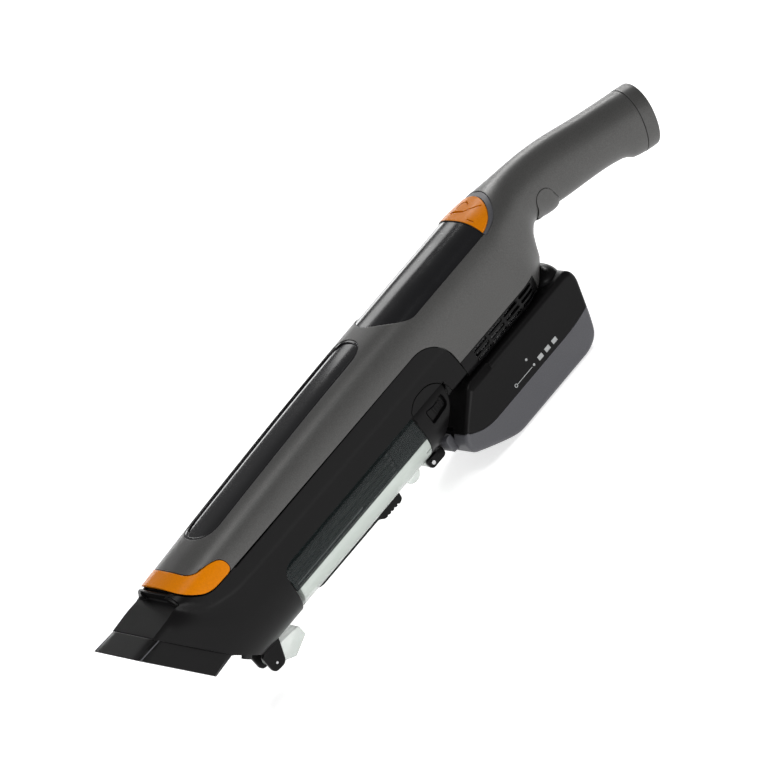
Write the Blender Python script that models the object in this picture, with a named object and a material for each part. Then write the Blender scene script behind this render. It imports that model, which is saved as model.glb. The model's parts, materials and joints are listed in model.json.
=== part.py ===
"""Cordless hand vacuum: a slim stick body with a clear dust cup, a drooping handle and a slide-on battery.

Frame: +X runs from the nozzle to the handle, +Z is up through the display, and Y is the width.
The origin is under the middle of the bounding box, on the battery's flat base.
Every size below is in millimetres; MM turns them into Blender's metres.
"""

import math

import bmesh
import bpy
from mathutils import Matrix, Vector

MM = 0.001
GAP = 0.3  # clearance between neighbouring pieces
WALL = 2.2  # moulded wall

# The body's outer skin along X: each entry is (x, value), joined smoothly.
SKIN_TOP = (
    (-260, 116), (-220, 117.5), (-180, 119.5), (-120, 122), (-60, 124), (0, 125), (60, 125.4),
    (105, 125.4), (131, 124.8), (150, 123.4), (170, 121), (189, 117.2), (227, 105.4), (257, 96.7),
    (280, 90),
)
SKIN_LOW = (
    (-260, 50), (117, 50), (128, 54), (134, 60), (137, 68), (141, 75), (150, 80.5), (156, 80.5),
    (163, 78.5), (175, 75), (233, 58.8), (237, 54.5), (241, 52.3), (250, 49.2), (262, 46.5), (280, 44),
)
SKIN_MIDDLE = (
    (-260, 84), (100, 85), (117, 95), (138, 98), (149, 100), (175, 98.3), (189, 94.3), (227, 82.9),
    (257, 74.3), (280, 68),
)
SKIN_HALF_WIDTH = (
    (-260, 30.5), (-220, 32), (-150, 33), (100, 33.3), (112, 32), (122, 29.2), (130, 26.5), (138, 23.5),
    (149, 19.2), (160, 17.2), (175, 16.5), (235, 16.5), (262, 18.6), (280, 19),
)
SKIN_TOP_POWER = ((-260, 3), (100, 3), (150, 2.3), (180, 2.1), (280, 2.1))
SKIN_LOW_POWER = ((-260, 5), (95, 5), (117, 3), (130, 2.1), (280, 2.1))
NOSE_LOW, NOSE_LOW_POWER = 27.0, 2.4  # the nose runs down as deep as the dust cup
RING_SIDES = 20

# Seams between the outer mouldings, seen from the side
SKIRT_Z = 97.7  # lower edge of the grey housing
HOUSING_FRONT_X = -206.5
LATCH_REAR_X, LATCH_SIDE_TOP_Z = -183.0, 112.5
REAR_ARC_X, REAR_ARC_RADIUS = 10.0, 23.0
VENT_TOP_Z, VENT_REAR_X, BASE_Z = 68.3, 114.0, 54.8
NOSE_FRONT_TOP, NOSE_FRONT_LOW, NOSE_CHIN = (-252.0, 106.0), (-218.4, 54.0), (-194.0, 26.0)
NOSE_SLOPE = (NOSE_FRONT_TOP[0] - NOSE_FRONT_LOW[0]) / (NOSE_FRONT_TOP[1] - NOSE_FRONT_LOW[1])
MOUTH_TOP, MOUTH_LOW = (-270.0, 106.0), (-237.0, 54.0)
CUP_FRONT_X, CUP_REAR_X, CUP_Z, CUP_RADIUS, CUP_WALL = -157.0, -18.0, 58.4, 30.4, 1.8
LID_SEAM_Z, LID_REAR_WALL_Z = 48.7, 39.0  # the low rear wall swings clear of the filter
CAP_TILT = math.radians(16)  # the handle's droop, and so the tilt of its end cap
CAP_SEAM, CAP_LENGTH = (254.0, 75.0), 10.5

# Controls
STRIP_FRONT_X, STRIP_REAR_X, STRIP_HALF_WIDTH = -179.0, -3.0, 17.5
LENS_FRONT_X, LENS_REAR_X, LENS_HALF_WIDTH = 9.0, 107.0, 28.0
BUTTON_REAR_X, RIM_REAR_X = 131.0, 136.0
TRIGGER_PIVOT, TRIGGER_RADIUS, TRIGGER_PROUD = (162.5, 90.0), 8.0, 2.7
LATCH_PIVOT, LATCH_DROP = (-187.0, 105.5), 1.6  # the room under the latch for its press

# Power train
MOTOR_Z, MOTOR_RADIUS, MOTOR_FRONT_X, MOTOR_REAR_X = 84.0, 19.0, 58.0, 100.0
FAN_RADIUS, FAN_FRONT_X, FAN_REAR_X = 25.0, 38.0, 56.0
INLET_Z, INLET_RADIUS = 68.0, 18.0
FILTER_Z, FILTER_RADIUS, FILTER_FRONT_X, FILTER_REAR_X, PLEATS = 63.0, 21.0, -118.0, -24.0, 24
LID_PIN = (-19.0, 24.3)
LATCH_PIN = (-194.0, 17.0)

# Battery
BATTERY_HALF_WIDTH, BATTERY_EDGE_RADIUS, BATTERY_TOP_Z, COVER_Z = 35.2, 4.0, 53.6, 22.0
CELL_RADIUS, CELL_LENGTH, CELL_PITCH = 9.2, 65.0, 19.5
CELL_FIRST_X, CELL_LOW_Z = 42.0, 13.0
CASE_SCREWS = ((-140.0, 106.5, 28.5), (4.5, 107.0, 29.3), (207.0, 89.0, 15.2))  # x, z, half-width there

for stale in list(bpy.data.objects):
    bpy.data.objects.remove(stale, do_unlink=True)

PARTS = bpy.data.collections.new("hand_vacuum")
CUTTERS = bpy.data.collections.new("cutters")
for group in (PARTS, CUTTERS):
    bpy.context.scene.collection.children.link(group)


# ---------------------------------------------------------------- materials and objects


def material(name, colour, roughness, metallic=0.0, alpha=1.0):
    made = bpy.data.materials.get(name)
    if made:
        return made
    made = bpy.data.materials.new(name)
    made.use_nodes = True
    shader = made.node_tree.nodes["Principled BSDF"]
    shader.inputs["Base Color"].default_value = (*colour, 1.0)
    shader.inputs["Roughness"].default_value = roughness
    shader.inputs["Metallic"].default_value = metallic
    shader.inputs["Alpha"].default_value = alpha
    made.diffuse_color = (*colour, alpha)
    return made


TITANIUM = ((0.085, 0.083, 0.082), 0.42, 0.3)
BLACK = ((0.012, 0.012, 0.013), 0.45)
GLOSS_BLACK = ((0.006, 0.006, 0.007), 0.08)
ORANGE = ((0.60, 0.17, 0.012), 0.25)
SMOKE = ((0.10, 0.12, 0.12), 0.08, 0.0, 0.4)
CLEAR = ((0.55, 0.58, 0.57), 0.08, 0.0, 0.35)
FILTER_MEDIA = ((0.05, 0.055, 0.05), 0.9)
RUBBER = ((0.015, 0.015, 0.016), 0.8)
SLATE = ((0.062, 0.058, 0.066), 0.5)
STEEL = ((0.55, 0.55, 0.56), 0.3, 1.0)
BOARD = ((0.01, 0.09, 0.04), 0.5)
CELL_WRAP = ((0.05, 0.12, 0.3), 0.4)
LIGHT_GREY = ((0.4, 0.4, 0.42), 0.4)


def add(name, mesh, look=None):
    """The mesh as a named part with its own material or, with no look, as a cutter."""
    made = bpy.data.objects.new(name, mesh)
    if look:
        mesh.materials.append(material(name, *look))
        mesh.shade_smooth()
        mesh.set_sharp_from_angle(angle=math.radians(35))
        PARTS.objects.link(made)
    else:
        as_helper(made)
    return made


def as_helper(made):
    CUTTERS.objects.link(made)
    made.hide_render = True
    made.display_type = "WIRE"


def add_bmesh(name, bm, look):
    bmesh.ops.recalc_face_normals(bm, faces=bm.faces)
    mesh = bpy.data.meshes.new(name)
    bm.to_mesh(mesh)
    bm.free()
    return add(name, mesh, look)


def boolean(target, other, operation):
    step = target.modifiers.new(f"{operation.lower()}_{other.name}", "BOOLEAN")
    step.operation = operation
    step.object = other
    step.solver = "EXACT"
    return target


def cut(target, *cutters):
    for cutter in cutters:
        boolean(target, cutter, "DIFFERENCE")
    return target


def join(target, *others):
    for other in others:
        boolean(target, other, "UNION")
    return target


def keep(target, *others):
    for other in others:
        boolean(target, other, "INTERSECT")
    return target


def hold_at(piece, x, y, z):
    """Moves the object's origin to its joint axis without moving its surface."""
    place = Vector((x, y, z)) * MM
    piece.data.transform(Matrix.Translation(-place))
    piece.location = place
    return piece


# ---------------------------------------------------------------- basic solids


def box(name, low, high, look=None):
    bm = bmesh.new()
    bmesh.ops.create_cube(bm, size=1.0)
    for vert in bm.verts:
        for axis in range(3):
            vert.co[axis] = (low[axis] if vert.co[axis] < 0 else high[axis]) * MM
    return add_bmesh(name, bm, look)


def rod(name, start, end, radius, look=None, sides=24, end_radius=None):
    """A cylinder, or a cone, between two points."""
    start, end = Vector(start) * MM, Vector(end) * MM
    turn = (end - start).to_track_quat("Z", "Y").to_matrix().to_4x4()
    bm = bmesh.new()
    bmesh.ops.create_cone(
        bm,
        cap_ends=True,
        segments=sides,
        radius1=radius * MM,
        radius2=(radius if end_radius is None else end_radius) * MM,
        depth=(end - start).length,
        matrix=Matrix.Translation((start + end) / 2) @ turn,
    )
    return add_bmesh(name, bm, look)


def solid_from_curve(name, curve, matrix, look):
    """A curve can't be cut or joined, so it becomes a mesh whose caps are welded on."""
    source = bpy.data.objects.new(name + "_curve", curve)
    source.matrix_world = matrix
    CUTTERS.objects.link(source)
    bpy.context.view_layer.update()
    graph = bpy.context.evaluated_depsgraph_get()
    mesh = bpy.data.meshes.new_from_object(source.evaluated_get(graph))
    mesh.transform(source.matrix_world)
    bpy.data.objects.remove(source)
    mesh.materials.clear()
    bm = bmesh.new()
    bm.from_mesh(mesh)
    bmesh.ops.remove_doubles(bm, verts=bm.verts, dist=1e-6)
    return add_bmesh(name, bm, look)


def flat_solid(name, outline, thickness, matrix, look):
    curve = bpy.data.curves.new(name, "CURVE")
    curve.dimensions = "2D"
    curve.fill_mode = "BOTH"
    curve.extrude = thickness * MM / 2
    spline = curve.splines.new("POLY")
    spline.points.add(len(outline) - 1)
    for point, (across, up) in zip(spline.points, outline):
        point.co = (across * MM, up * MM, 0, 1)
    spline.use_cyclic_u = True
    return solid_from_curve(name, curve, matrix, look)


def prism(name, outline, y0=-60.0, y1=60.0, look=None):
    """A side-view outline of (x, z) points, extruded from y0 to y1."""
    place = Matrix.Translation((0, (y0 + y1) / 2 * MM, 0)) @ Matrix.Rotation(math.pi / 2, 4, "X")
    return flat_solid(name, outline, y1 - y0, place, look)


def slab(name, outline, z0=100.0, z1=140.0, look=None):
    """A top-view outline of (x, y) points, extruded from z0 to z1."""
    return flat_solid(name, outline, z1 - z0, Matrix.Translation((0, 0, (z0 + z1) / 2 * MM)), look)


def tube(name, start, end, outer, inner, look=None, sides=32):
    piece = rod(name, start, end, outer, look, sides)
    start, end = Vector(start), Vector(end)
    past = (end - start).normalized()
    return cut(piece, rod(name + "_bore", start - past, end + past, inner, None, sides))


def coil(name, start, end, radius, wire, turns, look=STEEL):
    """A compression spring of round wire between two points."""
    start, end = Vector(start), Vector(end)
    side = (end - start).orthogonal().normalized()
    across = (end - start).normalized().cross(side)
    count = turns * 7
    curve = bpy.data.curves.new(name, "CURVE")
    curve.dimensions = "3D"
    curve.bevel_depth = wire * MM
    curve.bevel_resolution = 1
    curve.use_fill_caps = True
    spline = curve.splines.new("POLY")
    spline.points.add(count)
    for i, point in enumerate(spline.points):
        angle = 2 * math.pi * i / 7
        spot = start.lerp(end, i / count) + radius * (side * math.cos(angle) + across * math.sin(angle))
        point.co = (*(spot * MM), 1)
    return solid_from_curve(name, curve, Matrix.Identity(4), look)


def arc(x, z, radius, first, last, steps=8):
    """Points on a circle, from one angle to another in degrees."""
    angles = [math.radians(first + (last - first) * i / steps) for i in range(steps + 1)]
    return [(x + radius * math.cos(a), z + radius * math.sin(a)) for a in angles]


def rounded(corners, radius, steps=4):
    """The outline with each corner cut round by the radius, as a quadratic curve."""
    made = []
    for i, corner in enumerate(corners):
        corner = Vector(corner)
        before = Vector(corners[i - 1]) - corner
        after = Vector(corners[(i + 1) % len(corners)]) - corner
        first = corner + before.normalized() * min(radius, before.length / 2.1)
        last = corner + after.normalized() * min(radius, after.length / 2.1)
        for step in range(steps + 1):
            t = step / steps
            made.append(tuple(first.lerp(corner, t).lerp(corner.lerp(last, t), t)))
    return made


# ---------------------------------------------------------------- the body's skin


def along(knots, x):
    """A smooth value at x through the knots, with no overshoot between them."""
    x = min(max(x, knots[0][0]), knots[-1][0])
    at = max(i for i in range(len(knots) - 1) if knots[i][0] <= x)
    slopes = [(b[1] - a[1]) / (b[0] - a[0]) for a, b in zip(knots, knots[1:])]

    def tangent(i):
        if i in (0, len(slopes)):
            return slopes[min(i, len(slopes) - 1)]
        before, after = slopes[i - 1], slopes[i]
        return 2 * before * after / (before + after) if before * after > 0 else 0.0

    (x0, v0), (x1, v1) = knots[at], knots[at + 1]
    width = x1 - x0
    t = (x - x0) / width
    rise = (1 + 2 * t) * (1 - t) ** 2 * v0 + t * t * (3 - 2 * t) * v1
    return rise + width * (t * (1 - t) ** 2 * tangent(at) - t * t * (1 - t) * tangent(at + 1))


def skin_ring(x, inset=0.0, nose=False, proud=0.0):
    """One closed section of the skin: two half superellipses that meet at its widest height."""
    half = along(SKIN_HALF_WIDTH, x) - inset
    middle = along(SKIN_MIDDLE, x)
    up = along(SKIN_TOP, x) - middle - inset
    low = NOSE_LOW if nose else along(SKIN_LOW, x)
    down = middle - low - inset + proud
    low_power = NOSE_LOW_POWER if nose else along(SKIN_LOW_POWER, x)
    ring = []
    for i in range(RING_SIDES):
        angle = 2 * math.pi * i / RING_SIDES
        c, s = math.cos(angle), math.sin(angle)
        height, power = (up, along(SKIN_TOP_POWER, x)) if s >= 0 else (down, low_power)
        reach = (abs(c / half) ** power + abs(s / height) ** power) ** (-1 / power)
        ring.append((x, reach * c, middle + reach * s))
    return ring


def loft(name, rings, look=None):
    """A closed solid through rings that have the same number of points."""
    bm = bmesh.new()
    rows = [[bm.verts.new(Vector(point) * MM) for point in ring] for ring in rings]
    for row, following in zip(rows, rows[1:]):
        for i in range(len(row)):
            j = (i + 1) % len(row)
            bm.faces.new((row[i], row[j], following[j], following[i]))
    bm.faces.new(rows[0])
    bm.faces.new(rows[-1])
    bmesh.ops.triangulate(bm, faces=[face for face in bm.faces if len(face.verts) == 4])
    return add_bmesh(name, bm, look)


def skin_solid(name, x0, x1, inset=0.0, look=None, pitch=28.0, **shape):
    """Everything inside the skin from x0 to x1, with closer sections round the throat."""
    stations = [x0]
    while stations[-1] < x1 - 1:
        fine = 118 <= stations[-1] < 160 or 228 <= stations[-1] < 250
        stations.append(min(x1, stations[-1] + (6.0 if fine else pitch)))
    return loft(name, [skin_ring(x, inset, **shape) for x in stations], look)


def skin_patch(piece, x0, x1, inset, wall=WALL):
    """Turns an extruded outline into the piece of the skin inside it, one wall thick."""
    keep(piece, skin_solid(piece.name + "_skin", x0, x1, inset))
    return cut(piece, skin_solid(piece.name + "_core", x0 - 3, x1 + 3, inset + wall))


def tilted_block(name, behind):
    """All that lies beyond the end cap's seam plane, moved back along the handle by a distance."""
    x, z = CAP_SEAM
    block = box(name, (0, -60, -80), (90, 60, 80))
    turn = Matrix.Rotation(CAP_TILT, 4, "Y")
    shift = Vector((math.cos(CAP_TILT), 0, -math.sin(CAP_TILT))) * behind
    block.data.transform(Matrix.Translation((Vector((x, 0, z)) + shift) * MM) @ turn)
    return block


# ---------------------------------------------------------------- outlines


def strip_outline(by=0.0):
    half, front, rear = STRIP_HALF_WIDTH + by, STRIP_FRONT_X - by, STRIP_REAR_X + by
    return rounded([(front, -half), (rear, -half), (rear, half), (front, half)], 14.0)


def lens_outline(by=0.0):
    half = LENS_HALF_WIDTH + by
    bow_x, depth = LENS_FRONT_X + 24, 24 + by
    bow = [(bow_x + depth * x, half * y) for x, y in arc(0, 0, 1.0, 90, 270, 12)]
    return [(LENS_REAR_X + by, half)] + bow + [(LENS_REAR_X + by, -half)]


def button_outline(rear_x, half, by=0.0):
    front = LENS_REAR_X + 2 * GAP - by
    reach = rear_x + by - front
    return [(front + reach * x, (half + by) * y) for x, y in arc(0, 0, 1.0, -90, 90, 12)]


def latch_outline(by=0.0):
    """The orange saddle seen from the side: a band over the nose with an arm running back."""
    front, low, top = -220.0 - by, 98.4 - by, 125.0
    rear, arm_top, band_rear = LATCH_REAR_X + by, LATCH_SIDE_TOP_Z + by, HOUSING_FRONT_X - 0.6 + by
    arm = [(rear - 5, low), (rear - 1, low + 3), (rear, low + 7)]
    arm += [(rear - 1, arm_top - 2), (rear - 4, arm_top)]
    band = [*arc(band_rear + 8, arm_top + 8, 8, 270, 180, 5), (band_rear, top), (front, top)]
    return [(front, low), *arm, *band]


def trigger_outline(by=0.0, rear=0.0):
    x, z = TRIGGER_PIVOT
    crown = arc(x, z, TRIGGER_RADIUS + by, 180, 0, 10)
    front_x, rear_x = x - 10.5 - by, x + 10.5 + by + rear
    return crown + [(rear_x, z - 14), (rear_x, 60), (front_x, 60), (front_x, z - 6)]


# ---------------------------------------------------------------- outer casing


def make_housing():
    """The two grey halves: one shell each, from the nose latch through the handle to the end cap."""
    under = [(-280, 20), (-280, 106), (LATCH_REAR_X + 0.4, 106), (LATCH_REAR_X + 0.4, SKIRT_Z)]
    under += arc(REAR_ARC_X, SKIRT_Z - REAR_ARC_RADIUS, REAR_ARC_RADIUS, 90, 0)
    under += [(REAR_ARC_X + REAR_ARC_RADIUS, VENT_TOP_Z), (VENT_REAR_X, VENT_TOP_Z), (VENT_REAR_X, BASE_Z)]
    under += [(145, BASE_Z), (145, 20)]
    openings = [
        prism("housing_under", under),
        prism("latch_opening", latch_outline(0.6)),
        slab("strip_opening", strip_outline(GAP)),
        slab("display_opening", lens_outline(GAP)),
        slab("button_opening", button_outline(RIM_REAR_X, 29.5, GAP)),
        prism("trigger_opening", trigger_outline(GAP, 2.6)),
        tilted_block("handle_end", 0.0),
    ]
    core = skin_solid("housing_core", HOUSING_FRONT_X - 3, 284, WALL)
    for side, name in ((-1, "housing_left"), (1, "housing_right")):
        shell = skin_solid(name, HOUSING_FRONT_X, 280, 0.0, TITANIUM)
        cut(shell, core)
        for i, (x, z, half) in enumerate(CASE_SCREWS):
            join(shell, rod(f"{name}_boss_{i}", (x, -1.0, z), (x, side * half, z), 3.6, None, 12))
        cut(shell, *openings)
        y0, y1 = sorted((-side * 70.0, side * 0.05))
        cut(shell, box(f"{name}_far_side", (-290, y0, 0), (290, y1, 160)))
        for i, (x, z, half) in enumerate(CASE_SCREWS):
            cut(shell, screw_hole(f"{name}_screw_hole_{i}", side, x, z, half))


def screw_hole(name, side, x, z, half):
    """A blind pilot hole on the left; a clearance hole with a deep counterbore on the right."""
    if side < 0:
        return rod(name, (x, 5, z), (x, -9.5, z), 1.8, None, 14)
    hole = rod(name, (x, -5, z), (x, 7, z), 1.8, None, 14)
    return join(hole, rod(name + "_head", (x, 6.0, z), (x, half + 8, z), 2.9, None, 12))


def make_case_screws():
    for i, (x, z, _) in enumerate(CASE_SCREWS):
        screw = rod(f"case_screw_{i + 1}", (x, 7.5, z), (x, -9, z), 1.5, STEEL, 12)
        join(screw, rod(f"case_screw_{i + 1}_head", (x, 8.3, z), (x, 6.3, z), 2.6, None, 12))


def make_end_cap():
    cap = skin_solid("handle_end_cap", 236, 280, 0.0, TITANIUM)
    cut(cap, skin_solid("end_cap_core", 230, CAP_SEAM[0] + 5.0, 3.0))
    keep(cap, tilted_block("end_cap_start", GAP))
    cut(cap, tilted_block("end_cap_end", CAP_LENGTH))


def make_chassis():
    """The black nose, the skirt along the dust cup and the bulkhead in front of the motor."""
    front_z = SKIRT_Z - LATCH_DROP
    nose_side = [NOSE_FRONT_LOW, NOSE_CHIN, (NOSE_CHIN[0] + 5, 20), (CUP_FRONT_X - GAP, 20)]
    nose_side += [(CUP_FRONT_X - GAP, SKIRT_Z - GAP), (LATCH_PIVOT[0], SKIRT_Z - GAP)]
    nose_side += [(-224, front_z), (seam_x(front_z), front_z)]
    chassis = skin_solid("chassis", -258, CUP_FRONT_X + 1, 0.0, BLACK, nose=True)
    keep(chassis, prism("nose_side", nose_side))
    neck_rear_x = LATCH_REAR_X - 6
    neck_side = [(seam_x(60), 60), (neck_rear_x, 60), (neck_rear_x, 125)]
    neck_side += [(NOSE_FRONT_TOP[0], 125), NOSE_FRONT_TOP]
    neck = skin_solid("neck", -258, LATCH_REAR_X, 8.5, None, nose=True)
    keep(neck, prism("neck_side", neck_side))
    skirt = skin_solid("skirt", CUP_FRONT_X - 4, REAR_ARC_X + REAR_ARC_RADIUS + 3, 0.05)
    rear_x = REAR_ARC_X + REAR_ARC_RADIUS - GAP
    skirt_side = [(CUP_FRONT_X - 2, SKIRT_Z - 1.2 * GAP), (CUP_FRONT_X - 2, 69), (19, 69), (19, BASE_Z + 1)]
    skirt_side += [(rear_x, BASE_Z + 1)]
    skirt_side += arc(REAR_ARC_X, SKIRT_Z - REAR_ARC_RADIUS, REAR_ARC_RADIUS - 1.2 * GAP, 0, 90)
    keep(skirt, prism("skirt_side", skirt_side))
    join(chassis, neck, skirt)
    recess_x = CUP_FRONT_X - GAP - 0.2
    cut(chassis, rod("cup_recess", (recess_x, 0, CUP_Z), (18.8, 0, CUP_Z), CUP_RADIUS + 0.6, None, 34))
    hollow = skin_solid("nose_hollow", -270, CUP_FRONT_X - 4, 3.0, None, nose=True)
    cut(hollow, box("nose_roof", (-280, -60, SKIRT_Z - 3.5), (-100, 60, 140)))
    chin_x, wall_top = NOSE_FRONT_LOW[0] + 3.5, NOSE_FRONT_LOW[1]
    chin_wall = [(-280, wall_top), (chin_x, wall_top), (NOSE_CHIN[0] + 3.5, NOSE_CHIN[1])]
    chin_wall += [(-180, 10), (-280, 10)]
    cut(hollow, prism("chin_wall", chin_wall))
    neck_hollow = box("neck_hollow", (-262, -16, 80), (LATCH_REAR_X - 9, 16, 103))
    tray = skin_solid("tray_hollow", CUP_FRONT_X + 4, 26, 3.0)
    cut(tray, box("tray_floor", (-200, -60, 0), (60, 60, 91.5)))
    cut(chassis, hollow, neck_hollow, tray)
    cut(chassis, rod("duct_hole", (-170, 0, INLET_Z), (-150, 0, INLET_Z), INLET_RADIUS + GAP, None, 32))
    cut(chassis, rod("bulkhead_hole", (15, 0, 74), (40, 0, 74), 15.0, None, 24))
    x, z = LATCH_PIN
    ear_corners = [(x - 6, 24), (x - 6, z - 4), (x + 6, z - 5), (x + 14, 32), (x + 8, 32), (x + 3, 25.5)]
    ear = rounded(ear_corners, 3.0, 2)
    for side in (-1, 1):
        join(chassis, prism(f"latch_ear_{side}", ear, *sorted((side * 7.0, side * 10.0))))
    cut(chassis, rod("latch_pin_hole", (x, -12, z), (x, 12, z), 1.2, None, 12))


def seam_x(z):
    """Where the nozzle's seam crosses that height."""
    return NOSE_FRONT_TOP[0] + NOSE_SLOPE * (z - NOSE_FRONT_TOP[1])


def slanted_ring(top, low, half_width, power, inset=0.0):
    """A rounded-rectangle section on the slanted plane that holds both points and the Y direction."""
    top, low = Vector((top[0], 0, top[1])), Vector((low[0], 0, low[1]))
    centre, up = (top + low) / 2, (top - low).normalized()
    reach, half = (top - low).length / 2 - inset, half_width - inset
    ring = []
    for i in range(RING_SIDES):
        angle = 2 * math.pi * (i + 0.5) / RING_SIDES
        c, s = math.cos(angle), math.sin(angle)
        distance = (abs(c / half) ** power + abs(s / reach) ** power) ** (-1 / power)
        ring.append(centre + distance * (Vector((0, 1, 0)) * c + up * s))
    return ring


def make_nozzle():
    """A slanted mouth that narrows from the nose seam; the duct runs right through it."""
    seam_top = (NOSE_FRONT_TOP[0] - GAP, NOSE_FRONT_TOP[1])
    seam_low = (NOSE_FRONT_LOW[0] - GAP, NOSE_FRONT_LOW[1])
    ends = ((MOUTH_TOP, MOUTH_LOW, 31, 9), (seam_top, seam_low, 29.5, 8))
    nozzle = loft("nozzle", [slanted_ring(*end) for end in ends], BLACK)
    inner = [slanted_ring(*ends[0], WALL), slanted_ring(*ends[1], WALL + 0.6)]
    before = [mouth + (mouth - seam) * 0.15 for mouth, seam in zip(*inner)]
    after = [seam - (mouth - seam) * 0.15 for mouth, seam in zip(*inner)]
    cut(nozzle, loft("nozzle_duct", [before, *inner, after]))


def make_nose_latch():
    latch = skin_patch(prism("nose_latch", latch_outline(), look=ORANGE), -224, LATCH_REAR_X + 3, 0.0)
    cut(latch, box("latch_under", (-230, -60, 60), (-150, 60, 98.2)))
    hold_at_hinge(latch, LATCH_PIVOT)
    coil("nose_latch_spring", (-213, 0, 110.2), (-213, 0, 112.2), 3.0, 0.35, 3)


def hold_at_hinge(piece, pivot):
    return hold_at(piece, pivot[0], 0, pivot[1])


# ---------------------------------------------------------------- controls


def make_controls():
    strip = slab("inlay_strip", strip_outline(), look=GLOSS_BLACK)
    skin_patch(strip, STRIP_FRONT_X - 2, STRIP_REAR_X + 2, 1.2)
    lens = slab("display_lens", lens_outline(), look=GLOSS_BLACK)
    skin_patch(lens, LENS_FRONT_X - 9, LENS_REAR_X + 7, 0.4)
    button = slab("power_button", button_outline(BUTTON_REAR_X, 27.0), look=ORANGE)
    skin_patch(button, LENS_REAR_X - 7, BUTTON_REAR_X + 2, 0.0)
    join(button, rod("button_stem", (119, 0, 117), (119, 0, 124), 2.0, None, 12))
    hold_at(button, 119, 0, 124)
    rim = slab("button_rim", button_outline(RIM_REAR_X, 29.5), look=SLATE)
    skin_patch(rim, LENS_REAR_X - 7, RIM_REAR_X + 2, 0.3)
    cut(rim, slab("rim_opening", button_outline(BUTTON_REAR_X, 27.0, GAP + 0.1)))
    coil("button_spring", (119, 0, 114.6), (119, 0, 120.2), 3.4, 0.35, 4)
    board = box("display_board", (20, -17, 112.4), (128, 17, 114.0), BOARD)
    join(board, box("display_module", (30, -12, 113), (95, 12, 117.5)))


def make_trigger():
    x, z = TRIGGER_PIVOT
    trigger = skin_solid("trigger", x - 16, x + 16, -0.5, TITANIUM, pitch=4.0, proud=TRIGGER_PROUD)
    keep(trigger, prism("trigger_shape", trigger_outline()))
    cut(trigger, box("trigger_hollow", (x - 20, -11, z - 9), (x + 20, 11, z + 20)))
    hold_at_hinge(trigger, TRIGGER_PIVOT)
    box("trigger_switch", (179, -8, 84), (193, 8, 95), BLACK)
    coil("trigger_spring", (176.2, 0, 80.6), (188, 0, 78.6), 2.4, 0.35, 4)


# ---------------------------------------------------------------- power train


def make_motor():
    motor = shaft_tube("motor_can", MOTOR_FRONT_X, MOTOR_REAR_X, MOTOR_RADIUS, 3.0, STEEL, 20)
    for i in range(6):
        angle = math.radians(60 * i + 30)
        y, z = 12 * math.cos(angle), MOTOR_Z + 12 * math.sin(angle)
        cut(motor, rod(f"motor_vent_{i}", (MOTOR_REAR_X - 6, y, z), (MOTOR_REAR_X + 2, y, z), 2.6, None, 8))
    hold_at(rod("motor_shaft", (36, 0, MOTOR_Z), (104, 0, MOTOR_Z), 2.5, STEEL, 16), 36, 0, MOTOR_Z)
    shroud = shaft_tube("fan_shroud", FAN_FRONT_X, FAN_REAR_X, FAN_RADIUS, FAN_RADIUS - 1.6, BLACK, 24)
    join(shroud, shaft_tube("shroud_plate", FAN_FRONT_X, FAN_FRONT_X + 1.6, FAN_RADIUS - 0.5, 11.0, None, 24))
    make_impeller()
    shaft_tube("motor_mount_front", 45, 51, FAN_RADIUS + 2.0, FAN_RADIUS + GAP, RUBBER, 24)
    rear_x = MOTOR_REAR_X + GAP
    rear = shaft_tube("motor_mount_rear", rear_x - 8, rear_x + 6, MOTOR_RADIUS + 2.6, 9.0, RUBBER, 20)
    socket = (rear_x - 12, 0, MOTOR_Z), (rear_x, 0, MOTOR_Z)
    cut(rear, rod("mount_socket", *socket, MOTOR_RADIUS + GAP, None, 32))


def shaft_tube(name, x0, x1, outer, inner, look, sides):
    """A tube round the motor shaft's axis."""
    return tube(name, (x0, 0, MOTOR_Z), (x1, 0, MOTOR_Z), outer, inner, look, sides)


def make_impeller():
    hub_x = FAN_FRONT_X + 4
    disc = (hub_x + 8, 0, MOTOR_Z), (hub_x + 10, 0, MOTOR_Z)
    hub = (hub_x, 0, MOTOR_Z), (hub_x + 9, 0, MOTOR_Z)
    wheel = rod("impeller", *disc, FAN_RADIUS - 2.8, LIGHT_GREY, 20)
    join(wheel, rod("impeller_hub", *hub, 5.0, None, 20, end_radius=8.0))
    for i in range(9):
        blade = box(f"impeller_blade_{i}", (hub_x + 1, 4.5, -0.6), (hub_x + 9, FAN_RADIUS - 3.6, 0.6))
        turn = Matrix.Rotation(math.radians(40 * i), 4, "X")
        blade.data.transform(Matrix.Translation((0, 0, MOTOR_Z * MM)) @ turn)
        join(wheel, blade)
    cut(wheel, rod("impeller_bore", (hub_x - 2, 0, MOTOR_Z), (hub_x + 14, 0, MOTOR_Z), 2.8, None, 16))
    hold_at(wheel, hub_x, 0, MOTOR_Z)


def make_tray_and_boards():
    tray = box("motor_tray", (34, -25, BASE_Z + 0.2), (112, 25, BASE_Z + 1.9), BLACK)
    for x in (46, 96):
        cradle = box(f"tray_cradle_{x}", (x - 2, -14, BASE_Z + 1), (x + 2, 14, 66.5))
        saddle = (x - 5, 0, MOTOR_Z), (x + 5, 0, MOTOR_Z)
        cut(cradle, rod(f"tray_saddle_{x}", *saddle, FAN_RADIUS + 2.4, None, 32))
        join(tray, cradle)
    board = box("control_board", (-95, -20, 94.5), (10, 20, 96.1), BOARD)
    for i, (x, y, size, height) in enumerate(((-70, 4, 9, 5), (-40, -6, 7, 8), (-12, 6, 6, 10))):
        join(board, box(f"board_part_{i}", (x - size, y - size, 95), (x + size, y + size, 96.1 + height)))
    block = box("terminal_block", (38, -9, 49.6), (54, 9, BASE_Z - 0.1), BLACK)
    for y in (-6, 0, 6):
        join(block, box(f"terminal_blade_{y}", (30, y - 0.5, 50.4), (40, y + 0.5, 53)))


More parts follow.
